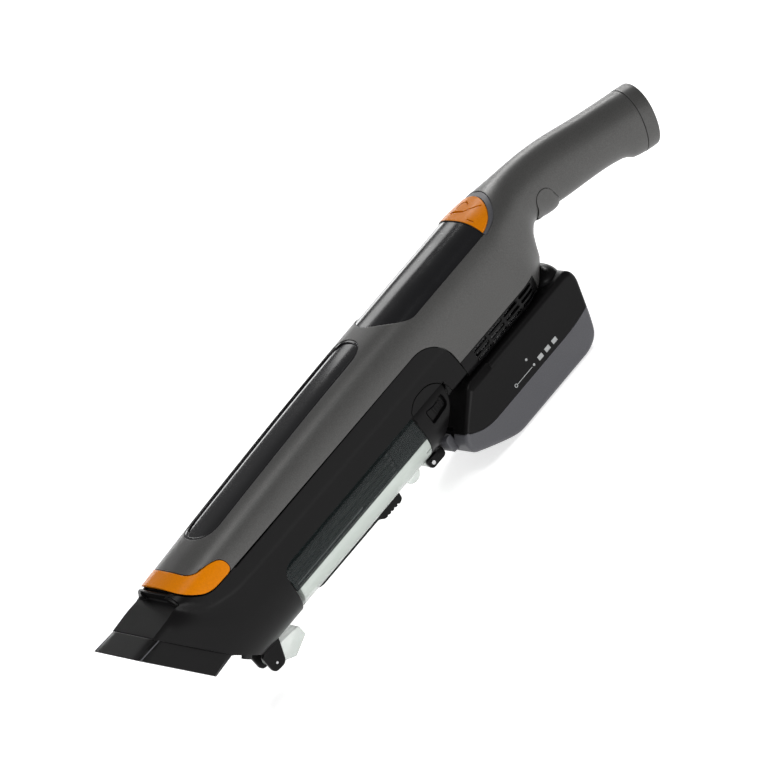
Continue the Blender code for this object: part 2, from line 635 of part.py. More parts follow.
def make_vent_grilles():
    """Three rows of four slots on each side of the motor bay, above the battery."""
    for side, name in ((-1, "vent_grille_left"), (1, "vent_grille_right")):
        edge = [(REAR_ARC_X + REAR_ARC_RADIUS, BASE_Z + 0.2), (VENT_REAR_X - GAP, BASE_Z + 0.2)]
        edge += [(VENT_REAR_X - GAP, VENT_TOP_Z - GAP), (REAR_ARC_X + REAR_ARC_RADIUS, VENT_TOP_Z - GAP)]
        y0, y1 = sorted((side * 60.0, side * 25.6))
        x0 = REAR_ARC_X + REAR_ARC_RADIUS
        grille = skin_patch(prism(name, edge, y0, y1, BLACK), x0 - 8, VENT_REAR_X + 6, 0.0)
        for row in range(3):
            for column in range(4):
                x, z = 45 + column * 16.5, 57.2 + row * 3.9
                slot = box(f"{name}_slot_{row}_{column}", (x, y0 - 5, z), (x + 13.5, y1 + 5, z + 2.0))
                cut(grille, slot)


# ---------------------------------------------------------------- dust cup and filter


def make_dust_cup():
    rear_x, front_x = CUP_REAR_X - GAP, CUP_FRONT_X + GAP
    front, rear, wall_x = (front_x, 0, CUP_Z), (rear_x, 0, CUP_Z), front_x + CUP_WALL
    cup = tube("dust_cup", front, rear, CUP_RADIUS, CUP_RADIUS - CUP_WALL, SMOKE, 32)
    wall = (front_x + 0.2, 0, CUP_Z), (wall_x, 0, CUP_Z)
    join(cup, rod("cup_front_wall", *wall, CUP_RADIUS - 0.5, None, 32))
    inlet = (front_x - 3, 0, INLET_Z), (front_x + 5, 0, INLET_Z)
    cut(cup, rod("cup_inlet", *inlet, INLET_RADIUS + GAP, None, 32))
    cut(cup, box("cup_lid_side", (-200, -60, 0), (0, 60, LID_SEAM_Z + GAP / 2)))
    tube("inlet_duct", (-200, 0, INLET_Z), (wall_x, 0, INLET_Z), INLET_RADIUS, INLET_RADIUS - 1.8, BLACK, 24)
    flap_x = wall_x + GAP
    flap = rod("inlet_flap", (flap_x, 0, INLET_Z), (flap_x + 1.2, 0, INLET_Z), INLET_RADIUS - 0.5, RUBBER, 20)
    hold_at(flap, flap_x + 0.6, 0, INLET_Z + INLET_RADIUS - 1)


def make_lid():
    """The clear lower part of the cup, hinged on a pin at its rear."""
    front_x, rear_x = CUP_FRONT_X + 2.8, CUP_REAR_X - 0.6
    ends = (front_x, 0, CUP_Z), (rear_x, 0, CUP_Z)
    lid = tube("dust_lid", *ends, CUP_RADIUS, CUP_RADIUS - CUP_WALL, CLEAR, 32)
    for i, x in enumerate((front_x + 0.2, rear_x - CUP_WALL - 0.2)):
        join(lid, rod(f"lid_end_{i}", (x, 0, CUP_Z), (x + CUP_WALL, 0, CUP_Z), CUP_RADIUS - 0.5, None, 32))
    cut(lid, box("lid_cup_side", (-200, -60, LID_SEAM_Z - GAP / 2), (0, 60, 120)))
    cut(lid, box("lid_filter_room", (rear_x - 5, -24, LID_REAR_WALL_Z), (rear_x + 2, 24, 60)))
    x, z = LID_PIN
    knuckle = arc(x, z, 3.0, 180, 360, 10) + [(x + 3, 27.0), (x + 0.4, 27.0), (x + 0.4, 31), (x - 5, 31)]
    join(lid, prism("lid_knuckle", knuckle, -5.5, 5.5))
    cut(lid, rod("lid_knuckle_bore", (x, -12, z), (x, 12, z), 1.9, None, 16))
    hold_at_hinge(lid, LID_PIN)
    hold_at_hinge(rod("lid_hinge_pin", (x, -10.5, z), (x, 10.5, z), 1.5, STEEL, 16), LID_PIN)
    block = rounded([(-16, 20.5), (-16, 27.0), (-7, 27.0), (-7, 22)], 1.5)
    bracket = prism("hinge_bracket", block, -9.5, 9.5, BLACK)
    for side in (-1, 1):
        y0, y1 = sorted((side * 6.2, side * 9.5))
        ear = arc(x, z, 3.2, 90, 270, 8) + [(-13, z - 3.2), (-13, 26.5)]
        join(bracket, prism(f"bracket_ear_{side}", ear, y0, y1))
    cut(bracket, rod("bracket_bore", (x, -12, z), (x, 12, z), 1.8, None, 16))
    cut(bracket, box("bracket_slot", (-30, -6.0, 10), (x + 4.6, 6.0, 40)))


def make_lid_hardware():
    """The unlocking slider on the lid's underside, and the clear finger latch under the nose."""
    low = CUP_Z - CUP_RADIUS
    rail = [(-134, low - GAP), (-134, 23), (-130, 21), (-82, 21)]
    thumb_tab = [(-79, 17.5), (-62, 17.5), (-59, 21), (-52, 21.5), (-50, low - GAP)]
    slider = prism("lid_slider", rail + thumb_tab, -5.0, 5.0, BLACK)
    hold_at(slider, -70, 0, 21)
    x, z = LATCH_PIN
    tab = [(x - 2.5, z + 2.5), (x - 2.5, z - 2.5), (x + 6, z - 5), (x + 14, z - 9.5)]
    tab += [(x + 29, z - 4), (x + 29, z + 4), (x + 12, z + 6)]
    latch = prism("lid_latch", rounded(tab, 3.0), -6.5, 6.5, CLEAR)
    cut(latch, rod("lid_latch_bore", (x, -12, z), (x, 12, z), 1.2, None, 12))
    hold_at_hinge(latch, LATCH_PIN)
    rod("latch_pin", (x, -9.8, z), (x, 9.8, z), 0.9, STEEL, 12)
    for side, name in ((-1, "nose_pad_left"), (1, "nose_pad_right")):
        rod(name, (-206.2, side * 12, 39.6), (-208.8, side * 12, 37.3), 3.5, RUBBER, 20)


def make_cup_cap():
    side_view = [(CUP_REAR_X, 20), (CUP_REAR_X, 95), (16, 95), (16, 62), (-3, 42), (-12, 32), (-13, 20)]
    cap = rod("cup_cap", (CUP_REAR_X, 0, CUP_Z), (18, 0, CUP_Z), CUP_RADIUS, BLACK, 32)
    keep(cap, prism("cap_side", side_view))
    inner = [(CUP_REAR_X - 3, 10), (CUP_REAR_X - 3, 100), (13, 100), (13, 63), (-5, 44), (-14, 34), (-15, 10)]
    hollow = rod("cap_hollow", (CUP_REAR_X - 3, 0, CUP_Z), (14, 0, CUP_Z), CUP_RADIUS - 2.4, None, 24)
    cut(cap, keep(hollow, prism("cap_inner", inner)))
    cut(cap, rod("cap_outlet", (8, 0, 74), (22, 0, 74), 12.0, None, 24))
    for side, name in ((-1, "cup_button_left"), (1, "cup_button_right")):
        drop = rounded([(-9, 61), (2, 53), (9, 57), (9, 66), (2, 68)], 4.0)
        opening = rounded([(-9.8, 61), (1.8, 52.4), (9.5, 56.6), (9.5, 66.6), (1.8, 68.6)], 4.0)
        y0, y1 = sorted((side * 22.0, side * 40.0))
        cut(cap, prism(name + "_opening", opening, y0, y1))
        y0, y1 = sorted((side * 24.5, side * 28.6))
        button = prism(name, drop, y0, y1, BLACK)
        for i in range(3):
            y0, y1 = sorted((side * 28.0, side * 29.3))
            join(button, box(f"{name}_rib_{i}", (-2 + 3.2 * i, y0, 56.5), (-0.8 + 3.2 * i, y1, 65)))
        hold_at(button, 0, side * 26.5, 61)


def make_filter():
    """A pleated paper cylinder in a frame, sealed to the cup's rear cap by a gasket."""
    count = PLEATS * 2
    star = []
    for i in range(count):
        radius = FILTER_RADIUS if i % 2 else FILTER_RADIUS - 3.5
        angle = 2 * math.pi * i / count
        star.append((radius * math.cos(angle), radius * math.sin(angle)))
    rings = [[(x, y, FILTER_Z + z) for y, z in star] for x in (FILTER_FRONT_X, FILTER_REAR_X)]
    pleats = loft("pleated_filter", rings, FILTER_MEDIA)
    core_ends = (FILTER_FRONT_X - 2, 0, FILTER_Z), (FILTER_REAR_X + 2, 0, FILTER_Z)
    cut(pleats, rod("filter_core", *core_ends, 15.0, None, 24))
    end_x = FILTER_FRONT_X - GAP
    disc = (end_x - 3, 0, FILTER_Z), (end_x, 0, FILTER_Z)
    frame = rod("filter_frame", *disc, FILTER_RADIUS + 1.5, BLACK, 20)
    spine = (end_x - 1, 0, FILTER_Z), (FILTER_REAR_X, 0, FILTER_Z)
    join(frame, tube("filter_spine", *spine, 14.0, 12.2, None, 20))
    for i in range(4):
        angle = math.radians(45 + 90 * i)
        y, z = 13 * math.cos(angle), FILTER_Z + 13 * math.sin(angle)
        port = (-100, 0, FILTER_Z), (-100, 2 * y, 2 * z - FILTER_Z)
        cut(frame, rod(f"spine_port_{i}", *port, 6.0, None, 10))
    rear_x = FILTER_REAR_X + GAP
    gasket_ends = (rear_x, 0, FILTER_Z), (CUP_REAR_X - 2.8, 0, FILTER_Z)
    tube("filter_gasket", *gasket_ends, FILTER_RADIUS + 1.5, 12.6, RUBBER, 20)


# ---------------------------------------------------------------- battery


def battery_outline(by=0.0):
    """The whole battery from the side, from its top front corner round to its top rear corner."""
    return [
        (26 + by, BATTERY_TOP_Z - by), (3 + by, 33), (-2 + by, 26), (-2 + by, 17 + by), (11 + by, 10 + by),
        (25, 3.3 + by), (34, by), (110, by), (120, 4 + by), (126 - by, 15), (137.5 - by, 46 - by / 2),
        (136 - 0.8 * by, 51 - by), (131, BATTERY_TOP_Z - by),
    ]


def cover_edge(by=0.0):
    """The parting line between the battery's two mouldings, from front to rear."""
    return [(-20, 31 + by), (4, 31 + by), (15, COVER_Z + by), (118, COVER_Z + by), (140, 27 + by)]


def rounded_battery(name, by, look=None):
    """The battery's outline from side to side, drawn in along a quarter circle at each side."""
    radius = BATTERY_EDGE_RADIUS
    rings = []
    for side in (-1, 1):
        for angle in sorted((math.radians(a) for a in (0, 30, 60, 90)), reverse=side > 0):
            y = side * (BATTERY_HALF_WIDTH - by - radius * (1 - math.cos(angle)))
            drawn_in = by + radius * (1 - math.sin(angle))
            rings.append([(x, y, z) for x, z in battery_outline(drawn_in)])
    return loft(name, rings, look)


def make_battery():
    shell = rounded_battery("battery_housing", 0.0, BLACK)
    cover = rounded_battery("battery_cover", 0.0, SLATE)
    hollow = rounded_battery("battery_hollow", 2.0)
    cut(shell, prism("housing_line", cover_edge(GAP / 2) + [(140, -10), (-20, -10)]), hollow)
    cut(cover, prism("cover_line", cover_edge(-GAP / 2) + [(140, 70), (-20, 70)]), hollow)
    channel = box("terminal_channel", (0, -10.5, 48.9), (60, 10.5, 60))
    lining = box("channel_lining", (8, -12.5, 47), (62, 12.5, 52.5))
    keep(lining, rounded_battery("lining_limit", 0.5))
    join(shell, lining)
    cut(shell, channel)
    cut(shell, box("clip_pocket", (-10, -9, 24.6), (4.5, 9, 33.4)))
    cut(shell, box("charge_window", (77, -40, 27.6), (96.6, -30, 31.4)))
    cut(cover, box("cover_clip_pocket", (-10, -9, 24.6), (4.5, 9, 40)))
    make_cells()
    board = box("battery_board", (34, -27, 43.2), (108, 27, 44.8), BOARD)
    join(board, box("battery_chip", (70, -5, 44), (82, 5, 46.6)))
    clip = box("battery_clip", (-5.0, -8.6, 25.0), (0.2, 8.6, 33.0), BLACK)
    hold_at(clip, -5, 0, 29)
    lens = box("charge_lens", (77.3, -34.6, 27.9), (96.3, -33.3, 31.1), LIGHT_GREY)
    for i in range(3):
        x = 78 + 6.5 * i
        join(lens, box(f"charge_bar_{i}", (x, -35.1, 28.2), (x + 4.4, -34, 30.8)))


def make_cells():
    """Seven cells lie across the battery: four below and three in the gaps above."""
    for i in range(7):
        upper = i >= 4
        x = CELL_FIRST_X + CELL_PITCH * (i - 3.5 if upper else i)
        z = CELL_LOW_Z + (17.2 if upper else 0.0)
        ends = (x, -CELL_LENGTH / 2, z), (x, CELL_LENGTH / 2, z)
        rod(f"battery_cell_{i + 1}", *ends, CELL_RADIUS, CELL_WRAP, 12)


make_housing()
make_case_screws()
make_end_cap()
make_chassis()
make_nozzle()
make_nose_latch()
make_controls()
make_trigger()
make_motor()
make_tray_and_boards()
make_vent_grilles()
make_dust_cup()
make_lid()
make_lid_hardware()
make_cup_cap()
make_filter()
make_battery()
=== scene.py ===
"""Looks for the cordless hand vacuum: fine mouldings, materials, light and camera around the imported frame.

Frame: +X runs from the nozzle to the handle, +Z is up through the display, -Y is the side the camera sees.
Every size below is in millimetres; MM turns them into Blender's metres.
"""

import json
import math

import bmesh
import bpy
from mathutils import Matrix, Vector


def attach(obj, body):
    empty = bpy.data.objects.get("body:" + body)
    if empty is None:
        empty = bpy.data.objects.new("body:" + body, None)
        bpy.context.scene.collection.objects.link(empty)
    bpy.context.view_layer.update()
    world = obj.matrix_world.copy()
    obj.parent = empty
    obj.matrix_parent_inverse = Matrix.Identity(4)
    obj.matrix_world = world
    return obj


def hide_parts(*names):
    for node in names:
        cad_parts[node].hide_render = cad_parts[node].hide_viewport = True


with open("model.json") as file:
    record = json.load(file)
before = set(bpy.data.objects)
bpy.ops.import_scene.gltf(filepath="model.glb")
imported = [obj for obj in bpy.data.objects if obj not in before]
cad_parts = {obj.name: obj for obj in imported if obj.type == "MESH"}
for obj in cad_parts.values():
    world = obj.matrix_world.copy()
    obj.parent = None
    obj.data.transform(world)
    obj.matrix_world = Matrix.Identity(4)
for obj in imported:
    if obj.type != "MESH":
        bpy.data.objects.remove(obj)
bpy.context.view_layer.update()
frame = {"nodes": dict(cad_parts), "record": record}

MM = 0.001
GAP, SEAM = 0.3, 0.06
WALL = 2.2

# The body's outer skin along X, as in the CAD part: each entry is (x, value), joined smoothly.
SKIN_TOP = (
    (-260, 116), (-220, 117.5), (-180, 119.5), (-120, 122), (-60, 124), (0, 125), (60, 125.4),
    (105, 125.4), (131, 124.8), (150, 123.4), (170, 121), (189, 117.2), (227, 105.4), (257, 96.7),
    (280, 90),
)
SKIN_LOW = (
    (-260, 50), (117, 50), (128, 54), (134, 60), (137, 68), (141, 75), (150, 80.5), (156, 80.5),
    (163, 78.5), (175, 75), (233, 58.8), (237, 54.5), (241, 52.3), (250, 49.2), (262, 46.5), (280, 44),
)
SKIN_MIDDLE = (
    (-260, 84), (100, 85), (117, 95), (138, 98), (149, 100), (175, 98.3), (189, 94.3), (227, 82.9),
    (257, 74.3), (280, 68),
)
SKIN_HALF_WIDTH = (
    (-260, 30.5), (-220, 32), (-150, 33), (100, 33.3), (112, 32), (122, 29.2), (130, 26.5), (138, 23.5),
    (149, 19.2), (160, 17.2), (175, 16.5), (235, 16.5), (262, 18.6), (280, 19),
)
SKIN_TOP_POWER = ((-260, 3), (100, 3), (150, 2.3), (180, 2.1), (280, 2.1))
SKIN_LOW_POWER = ((-260, 5), (95, 5), (117, 3), (130, 2.1), (280, 2.1))
NOSE_LOW, NOSE_LOW_POWER = 27.0, 2.4
RING_SIDES, STATION_PITCH = 96, 5.0

# Seams between the outer mouldings, seen from the side
SKIRT_Z = 97.7
HOUSING_FRONT_X, LATCH_FRONT_X, LATCH_REAR_X = -206.5, -220.0, -181.0
REAR_ARC_X, REAR_ARC_RADIUS = 10.0, 23.0
VENT_TOP_Z, VENT_REAR_X, BASE_Z = 68.3, 114.0, 54.8
NOSE_FRONT_TOP, NOSE_FRONT_LOW, NOSE_CHIN = (-252.0, 106.0), (-218.4, 54.0), (-194.0, 26.0)
MOUTH_TOP, MOUTH_LOW = (-270.0, 106.0), (-237.0, 54.0)
SHELF_Z, WINDOW_TOP_Z, WINDOW_RADIUS = 107.5, 69.0, 11.0
CUP_FRONT_X, CUP_REAR_X, CUP_Z, CUP_RADIUS, CUP_WALL = -157.0, -18.0, 58.4, 30.4, 1.8
LID_SEAM_Z, LID_REAR_WALL_Z = 48.7, 39.0
CAP_TILT, CAP_SEAM, CAP_LENGTH = math.radians(16), (254.0, 75.0), 10.5

# The crease under the latch's lip: (x, z) along it, its depth, and how far it fades out above and below
CREASE = (
    (-262, 112), (-232, 110), (-226, 106), (-211, 90), (-200, 85.5), (-185, 82.5), (-150, 82), (40, 82),
)
CREASE_DEPTH = ((-262, 0), (-238, 0), (-224, 1.8), (-205, 2.0), (-188, 1.5), (-165, 1.0), (40, 0.8))
CREASE_ABOVE, CREASE_BELOW = 5.0, 20.0

# Controls
STRIP_FRONT_X, STRIP_REAR_X, STRIP_HALF_WIDTH = -179.0, -3.0, 17.5
LENS_FRONT_X, LENS_REAR_X, LENS_HALF_WIDTH = 9.0, 107.0, 28.0
BUTTON_REAR_X, BUTTON_HALF_WIDTH = 131.0, 27.0
RIM_REAR_X, RIM_HALF_WIDTH = 136.0, 28.6
TRIGGER_PIVOT, TRIGGER_RADIUS, TRIGGER_PROUD, TRIGGER_TRAVEL = (162.5, 90.0), 8.0, 2.7, 2.3

# Vents: three rows of four slots
VENT_FIRST_X, VENT_FIRST_Z, VENT_STEP_X, VENT_STEP_Z = 45.0, 57.2, 16.5, 3.9
VENT_SLOT_LENGTH, VENT_SLOT_HEIGHT = 14.2, 2.2

# Dust cup, lid and battery
FILTER_Z, FILTER_RADIUS, FILTER_FRONT_X, FILTER_REAR_X = 63.0, 21.0, -118.0, -24.0
PLEATS, CAGE_RIBS, CAGE_RADIUS, CAGE_REAR_X = 32, 8, 22.8, -46.0
CUP_RIB_RADIUS, CUP_RIB_ANGLES = 27.8, (-18, -10, -2, 6, 14, 166, 174, 182, 190, 198)
# Pale rods inside each cup wall, painted highlight streaks: their half width, front and rear height, and rear
# end
STREAK_HALF_WIDTH, STREAK_FRONT_Z, STREAK_REAR_Z, STREAK_REAR_X = 27.6, 51.6, 51.9, -84.0
LID_PIN, LATCH_PIN = (-19.0, 24.3), (-194.0, 17.0)
KEY_RIB_SIDE, KEY_RIB_LOW, KEY_RIB_HIGH = 28.0, 55.4, 60.6
BATTERY_HALF_WIDTH, BATTERY_EDGE_RADIUS, BATTERY_TOP_Z, COVER_Z = 35.2, 4.0, 53.6, 22.0
CLIP_HALF_WIDTH, CLIP_POCKET_HALF_WIDTH = 18.6, 19.2

# The camera: azimuth, elevation and roll in degrees, and what it looks at
VIEW_ANGLES, VIEW_TARGET, VIEW_DISTANCE, LENS_MM = (-20.3, 24.4, 40.9), (-5.5, 0, 85.2), 3997.0, 281.25


# ---------------------------------------------------------------- materials


class Nodes:
    """A material's node tree, with short calls to add and join nodes."""

    def __init__(self, name):
        self.material = bpy.data.materials.new(name)
        self.material.use_nodes = True
        self.tree = self.material.node_tree
        self.shader = self.tree.nodes["Principled BSDF"]
        self.place = self.add("ShaderNodeTexCoord").outputs["Object"]

    def add(self, kind, **inputs):
        node = self.tree.nodes.new(kind)
        for name, value in inputs.items():
            node.inputs[name.replace("_", " ")].default_value = value
        return node

    def join(self, output, target):
        self.tree.links.new(output, target)

    def noise(self, size, detail=3.0, stretch=(1, 1, 1)):
        """Noise whose grains are about that many millimetres across, longer where stretch is over 1."""
        spread = self.add("ShaderNodeMapping")
        spread.inputs["Scale"].default_value = [1 / (size * MM * s) for s in stretch]
        self.join(self.place, spread.inputs["Vector"])
        made = self.add("ShaderNodeTexNoise", Scale=1.0, Detail=detail, Roughness=0.55)
        self.join(spread.outputs[0], made.inputs["Vector"])
        return made.outputs["Fac"]

    def ramp(self, source, low, high, start=0.35, end=0.65):
        made = self.add("ShaderNodeMapRange", From_Min=start, From_Max=end, To_Min=low, To_Max=high)
        self.join(source, made.inputs["Value"])
        return made.outputs["Result"]

    def colours(self, source, dark, light):
        made = self.add("ShaderNodeMix")
        made.data_type = "RGBA"
        made.inputs[6].default_value = (*dark, 1)
        made.inputs[7].default_value = (*light, 1)
        self.join(source, made.inputs[0])
        self.join(made.outputs[2], self.shader.inputs["Base Color"])

    def relief(self, height, depth, edge):
        """Bump of that depth in millimetres, over mould edges rounded by the edge radius."""
        rounded_edge = self.add("ShaderNodeBevel", Radius=edge * MM)
        rounded_edge.samples = 6
        bump = self.add("ShaderNodeBump", Strength=1.0, Distance=depth * MM)
        self.join(height, bump.inputs["Height"])
        self.join(rounded_edge.outputs[0], bump.inputs["Normal"])
        self.join(bump.outputs[0], self.shader.inputs["Normal"])


def moulding(name, colour, roughness, grain, depth, mottle, wear, edge, **sockets):
    """Moulded plastic: a spark-eroded grain, faint mottling and a slightly uneven gloss."""
    nodes = Nodes(name)
    dark, light = [c * (1 - mottle) for c in colour], [c * (1 + mottle) for c in colour]
    nodes.colours(nodes.ramp(nodes.noise(grain * 1.7, 2.0), 0, 1), dark, light)
    gloss = nodes.ramp(nodes.noise(22.0), roughness - wear, roughness + wear)
    nodes.join(gloss, nodes.shader.inputs["Roughness"])
    nodes.relief(nodes.noise(grain), depth, edge)
    for socket, value in sockets.items():
        nodes.shader.inputs[socket.replace("_", " ")].default_value = value
    return nodes.material


def clear_plastic(name, colour, face_alpha, rim_alpha):
    """See-through plastic: clearest face on, denser where the wall is seen edge on, with fine scuffs."""
    nodes = Nodes(name)
    facing = nodes.add("ShaderNodeLayerWeight", Blend=0.35).outputs["Facing"]
    nodes.colours(nodes.ramp(facing, 0, 1, 0.3, 1.0), colour, [c * 0.35 for c in colour])
    nodes.join(nodes.ramp(facing, face_alpha, rim_alpha, 0.0, 1.0), nodes.shader.inputs["Alpha"])
    scuffs = nodes.ramp(nodes.noise(3.0, 4.0, (6, 1, 1)), 0.06, 0.14, 0.5, 0.75)
    nodes.join(scuffs, nodes.shader.inputs["Roughness"])
    nodes.shader.inputs["IOR"].default_value = 1.5
    nodes.shader.inputs["Specular IOR Level"].default_value = 0.35
    return nodes.material


def metal(name, colour, roughness):
    """Bright metal with fine turning marks."""
    nodes = Nodes(name)
    marks = nodes.noise(0.25, 2.0, (1, 8, 8))
    nodes.colours(nodes.ramp(marks, 0, 1), [c * 0.85 for c in colour], colour)
    gloss = nodes.ramp(nodes.noise(1.5), roughness - 0.06, roughness + 0.08)
    nodes.join(gloss, nodes.shader.inputs["Roughness"])
    nodes.relief(marks, 0.004, 0.15)
    nodes.shader.inputs["Metallic"].default_value = 1.0
    return nodes.material


def make_materials():
    return {
        "titanium_grey": moulding(
            "titanium_grey", (0.078, 0.077, 0.075), 0.4, 0.35, 0.005, 0.14, 0.02, 0.5, Metallic=0.5,
        ),
        "black_plastic": moulding(
            "black_plastic", (0.004, 0.0038, 0.004), 0.3, 0.5, 0.004, 0.12, 0.015, 0.6,
            Specular_IOR_Level=0.14,
        ),
        "gloss_black": moulding(
            "gloss_black", (0.004, 0.004, 0.005), 0.14, 4.0, 0.0002, 0.1, 0.02, 0.6,
            Specular_IOR_Level=0.45,
        ),
        "orange_plastic": moulding(
            "orange_plastic", (0.6, 0.175, 0.0), 0.28, 0.8, 0.003, 0.05, 0.04, 0.6, Specular_IOR_Level=0.1,
        ),
        "slate_grey": moulding("slate_grey", (0.062, 0.062, 0.07), 0.48, 0.45, 0.01, 0.1, 0.05, 0.6),
        "light_grey": moulding("light_grey", (0.34, 0.35, 0.35), 0.4, 0.6, 0.008, 0.08, 0.05, 0.3),
        "smoked_clear": clear_plastic("smoked_clear", (0.008, 0.013, 0.013), 0.55, 0.9),
        "clear": clear_plastic("clear", (0.7, 0.76, 0.71), 0.4, 0.8),
        "filter_media": moulding("filter_media", (0.16, 0.2, 0.15), 0.8, 0.8, 0.002, 0.04, 0.03, 0.1),
        "rubber": moulding("rubber", (0.014, 0.014, 0.015), 0.75, 0.4, 0.02, 0.15, 0.05, 0.4),
        "steel": metal("steel", (0.6, 0.6, 0.61), 0.24),
        "board": moulding("board", (0.004, 0.03, 0.014), 0.4, 2.0, 0.02, 0.3, 0.05, 0.2),
        "cell": moulding("cell", (0.05, 0.12, 0.32), 0.3, 5.0, 0.005, 0.05, 0.05, 0.3),
    }


LOOKS = make_materials()


# ---------------------------------------------------------------- mesh helpers


def from_bmesh(name, bm):
    bmesh.ops.recalc_face_normals(bm, faces=bm.faces)
    mesh = bpy.data.meshes.new(name)
    bm.to_mesh(mesh)
    bm.free()
    made = bpy.data.objects.new(name, mesh)
    bpy.context.scene.collection.objects.link(made)
    return made


def settle(piece):
    """Works the piece's modifiers into its mesh."""
    bpy.context.view_layer.update()
    mesh = bpy.data.meshes.new_from_object(piece.evaluated_get(bpy.context.evaluated_depsgraph_get()))
    piece.modifiers.clear()
    piece.data = mesh


def boolean(target, others, operation):
    for other in others:
        step = target.modifiers.new(operation.lower(), "BOOLEAN")
        step.operation = operation
        step.object = other
        step.solver = "EXACT"
    settle(target)
    for other in others:
        bpy.data.objects.remove(other)
    return target


def cut(target, *cutters):
    return boolean(target, cutters, "DIFFERENCE")


def join(target, *others):
    return boolean(target, others, "UNION")


def keep(target, *others):
    return boolean(target, others, "INTERSECT")


def finish(piece, body, slot, *replaced, edge=0.0, angle=32):
    """The piece gets its edges, finish and body, and stands for the CAD nodes that it replaces."""
    if edge:
        step = piece.modifiers.new("edge", "BEVEL")
        step.width = edge * MM
        step.segments = 3
        step.limit_method = "ANGLE"
        step.angle_limit = math.radians(40)
        settle(piece)
    piece.data.materials.clear()
    piece.data.materials.append(LOOKS[slot])
    piece.data.shade_smooth()
    piece.data.set_sharp_from_angle(angle=math.radians(angle))
    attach(piece, body)
    if replaced:
        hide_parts(*replaced)
    return piece


def box(name, low, high):
    bm = bmesh.new()
    bmesh.ops.create_cube(bm, size=1.0)
    for vert in bm.verts:
        for axis in range(3):
            vert.co[axis] = (low[axis] if vert.co[axis] < 0 else high[axis]) * MM
    return from_bmesh(name, bm)


def rod(name, start, end, radius, sides=64):
    start, end = Vector(start) * MM, Vector(end) * MM
    turn = (end - start).to_track_quat("Z", "Y").to_matrix().to_4x4()
    bm = bmesh.new()
    bmesh.ops.create_cone(
        bm,
        cap_ends=True,
        segments=sides,
        radius1=radius * MM,
        radius2=radius * MM,
        depth=(end - start).length,
        matrix=Matrix.Translation((start + end) / 2) @ turn,
    )
    return from_bmesh(name, bm)


def tube(name, start, end, outer, inner, sides=96):
    past = (Vector(end) - Vector(start)).normalized()
    bore = rod(name + "_bore", Vector(start) - past, Vector(end) + past, inner, sides)
    return cut(rod(name, start, end, outer, sides), bore)


def loft(name, rings):
    """A closed solid through rings that have the same number of points."""
    bm = bmesh.new()
    rows = [[bm.verts.new(Vector(point) * MM) for point in ring] for ring in rings]
    for row, following in zip(rows, rows[1:]):
        for i in range(len(row)):
            j = (i + 1) % len(row)
            bm.faces.new((row[i], row[j], following[j], following[i]))
    bm.faces.new(rows[0])
    bm.faces.new(rows[-1])
    return from_bmesh(name, bm)


def prism(name, outline, y0=-60.0, y1=60.0):
    """A side-view outline of (x, z) points, extruded from y0 to y1."""
    return loft(name, [[(x, y, z) for x, z in outline] for y in (y0, y1)])


def slab(name, outline, z0=100.0, z1=140.0):
    """A top-view outline of (x, y) points, extruded from z0 to z1."""
    return loft(name, [[(x, y, z) for x, y in outline] for z in (z0, z1)])


def arc(x, z, radius, first, last, steps=24):
    angles = [math.radians(first + (last - first) * i / steps) for i in range(steps + 1)]
    return [(x + radius * math.cos(a), z + radius * math.sin(a)) for a in angles]


def rounded(corners, radius=None, steps=8):
    """The outline with each corner cut round; a corner may carry its own radius as a third number."""
    made = []
    for i, corner in enumerate(corners):
        own = corner[2] if len(corner) > 2 else radius
        here = Vector(corner[:2])
        before = Vector(corners[i - 1][:2]) - here
        after = Vector(corners[(i + 1) % len(corners)][:2]) - here
        if not own:
            made.append(tuple(here))
            continue
        first = here + before.normalized() * min(own, before.length / 2.02)
        last = here + after.normalized() * min(own, after.length / 2.02)
        for step in range(steps + 1):
            t = step / steps
            made.append(tuple(first.lerp(here, t).lerp(here.lerp(last, t), t)))
    return made


def smooth_step(t):
    t = min(max(t, 0.0), 1.0)
    return t * t * (3 - 2 * t)


# ---------------------------------------------------------------- the body's skin


def along(knots, x):
    """A smooth value at x through the knots, with no overshoot between them."""
    x = min(max(x, knots[0][0]), knots[-1][0])
    at = max(i for i in range(len(knots) - 1) if knots[i][0] <= x)
    slopes = [(b[1] - a[1]) / (b[0] - a[0]) for a, b in zip(knots, knots[1:])]

    def tangent(i):
        if i in (0, len(slopes)):
            return slopes[min(i, len(slopes) - 1)]
        before, after = slopes[i - 1], slopes[i]
        return 2 * before * after / (before + after) if before * after > 0 else 0.0

    (x0, v0), (x1, v1) = knots[at], knots[at + 1]
    width = x1 - x0
    t = (x - x0) / width
    rise = (1 + 2 * t) * (1 - t) ** 2 * v0 + t * t * (3 - 2 * t) * v1
    return rise + width * (t * (1 - t) ** 2 * tangent(at) - t * t * (1 - t) * tangent(at + 1))


def skin_ring(x, inset=0.0, nose=False, proud=0.0):
    """One closed section of the skin: two half superellipses that meet at its widest height."""
    half = along(SKIN_HALF_WIDTH, x) - inset
    middle = along(SKIN_MIDDLE, x)
    up = along(SKIN_TOP, x) - middle - inset
    low = NOSE_LOW if nose else along(SKIN_LOW, x)
    down = middle - low - inset + proud
    top_power, low_power = along(SKIN_TOP_POWER, x), NOSE_LOW_POWER if nose else along(SKIN_LOW_POWER, x)
    ring, sides = [], RING_SIDES * (3 if nose else 1)
    for i in range(sides):
        angle = 2 * math.pi * i / sides
        c, s = math.cos(angle), math.sin(angle)
        height, power = (up, top_power) if s >= 0 else (down, low_power)
        reach = (abs(c / half) ** power + abs(s / height) ** power) ** (-1 / power)
        y, z = reach * c, middle + reach * s
        if nose:
            off = z - along(CREASE, x)
            fade = smooth_step(off / CREASE_ABOVE if off > 0 else -off / CREASE_BELOW)
            depth = along(CREASE_DEPTH, x) * (1 - fade)
            y -= math.copysign(min(depth, abs(y)), y) * min(1.0, abs(y) / 20)
        ring.append((x, y, z))
    return ring


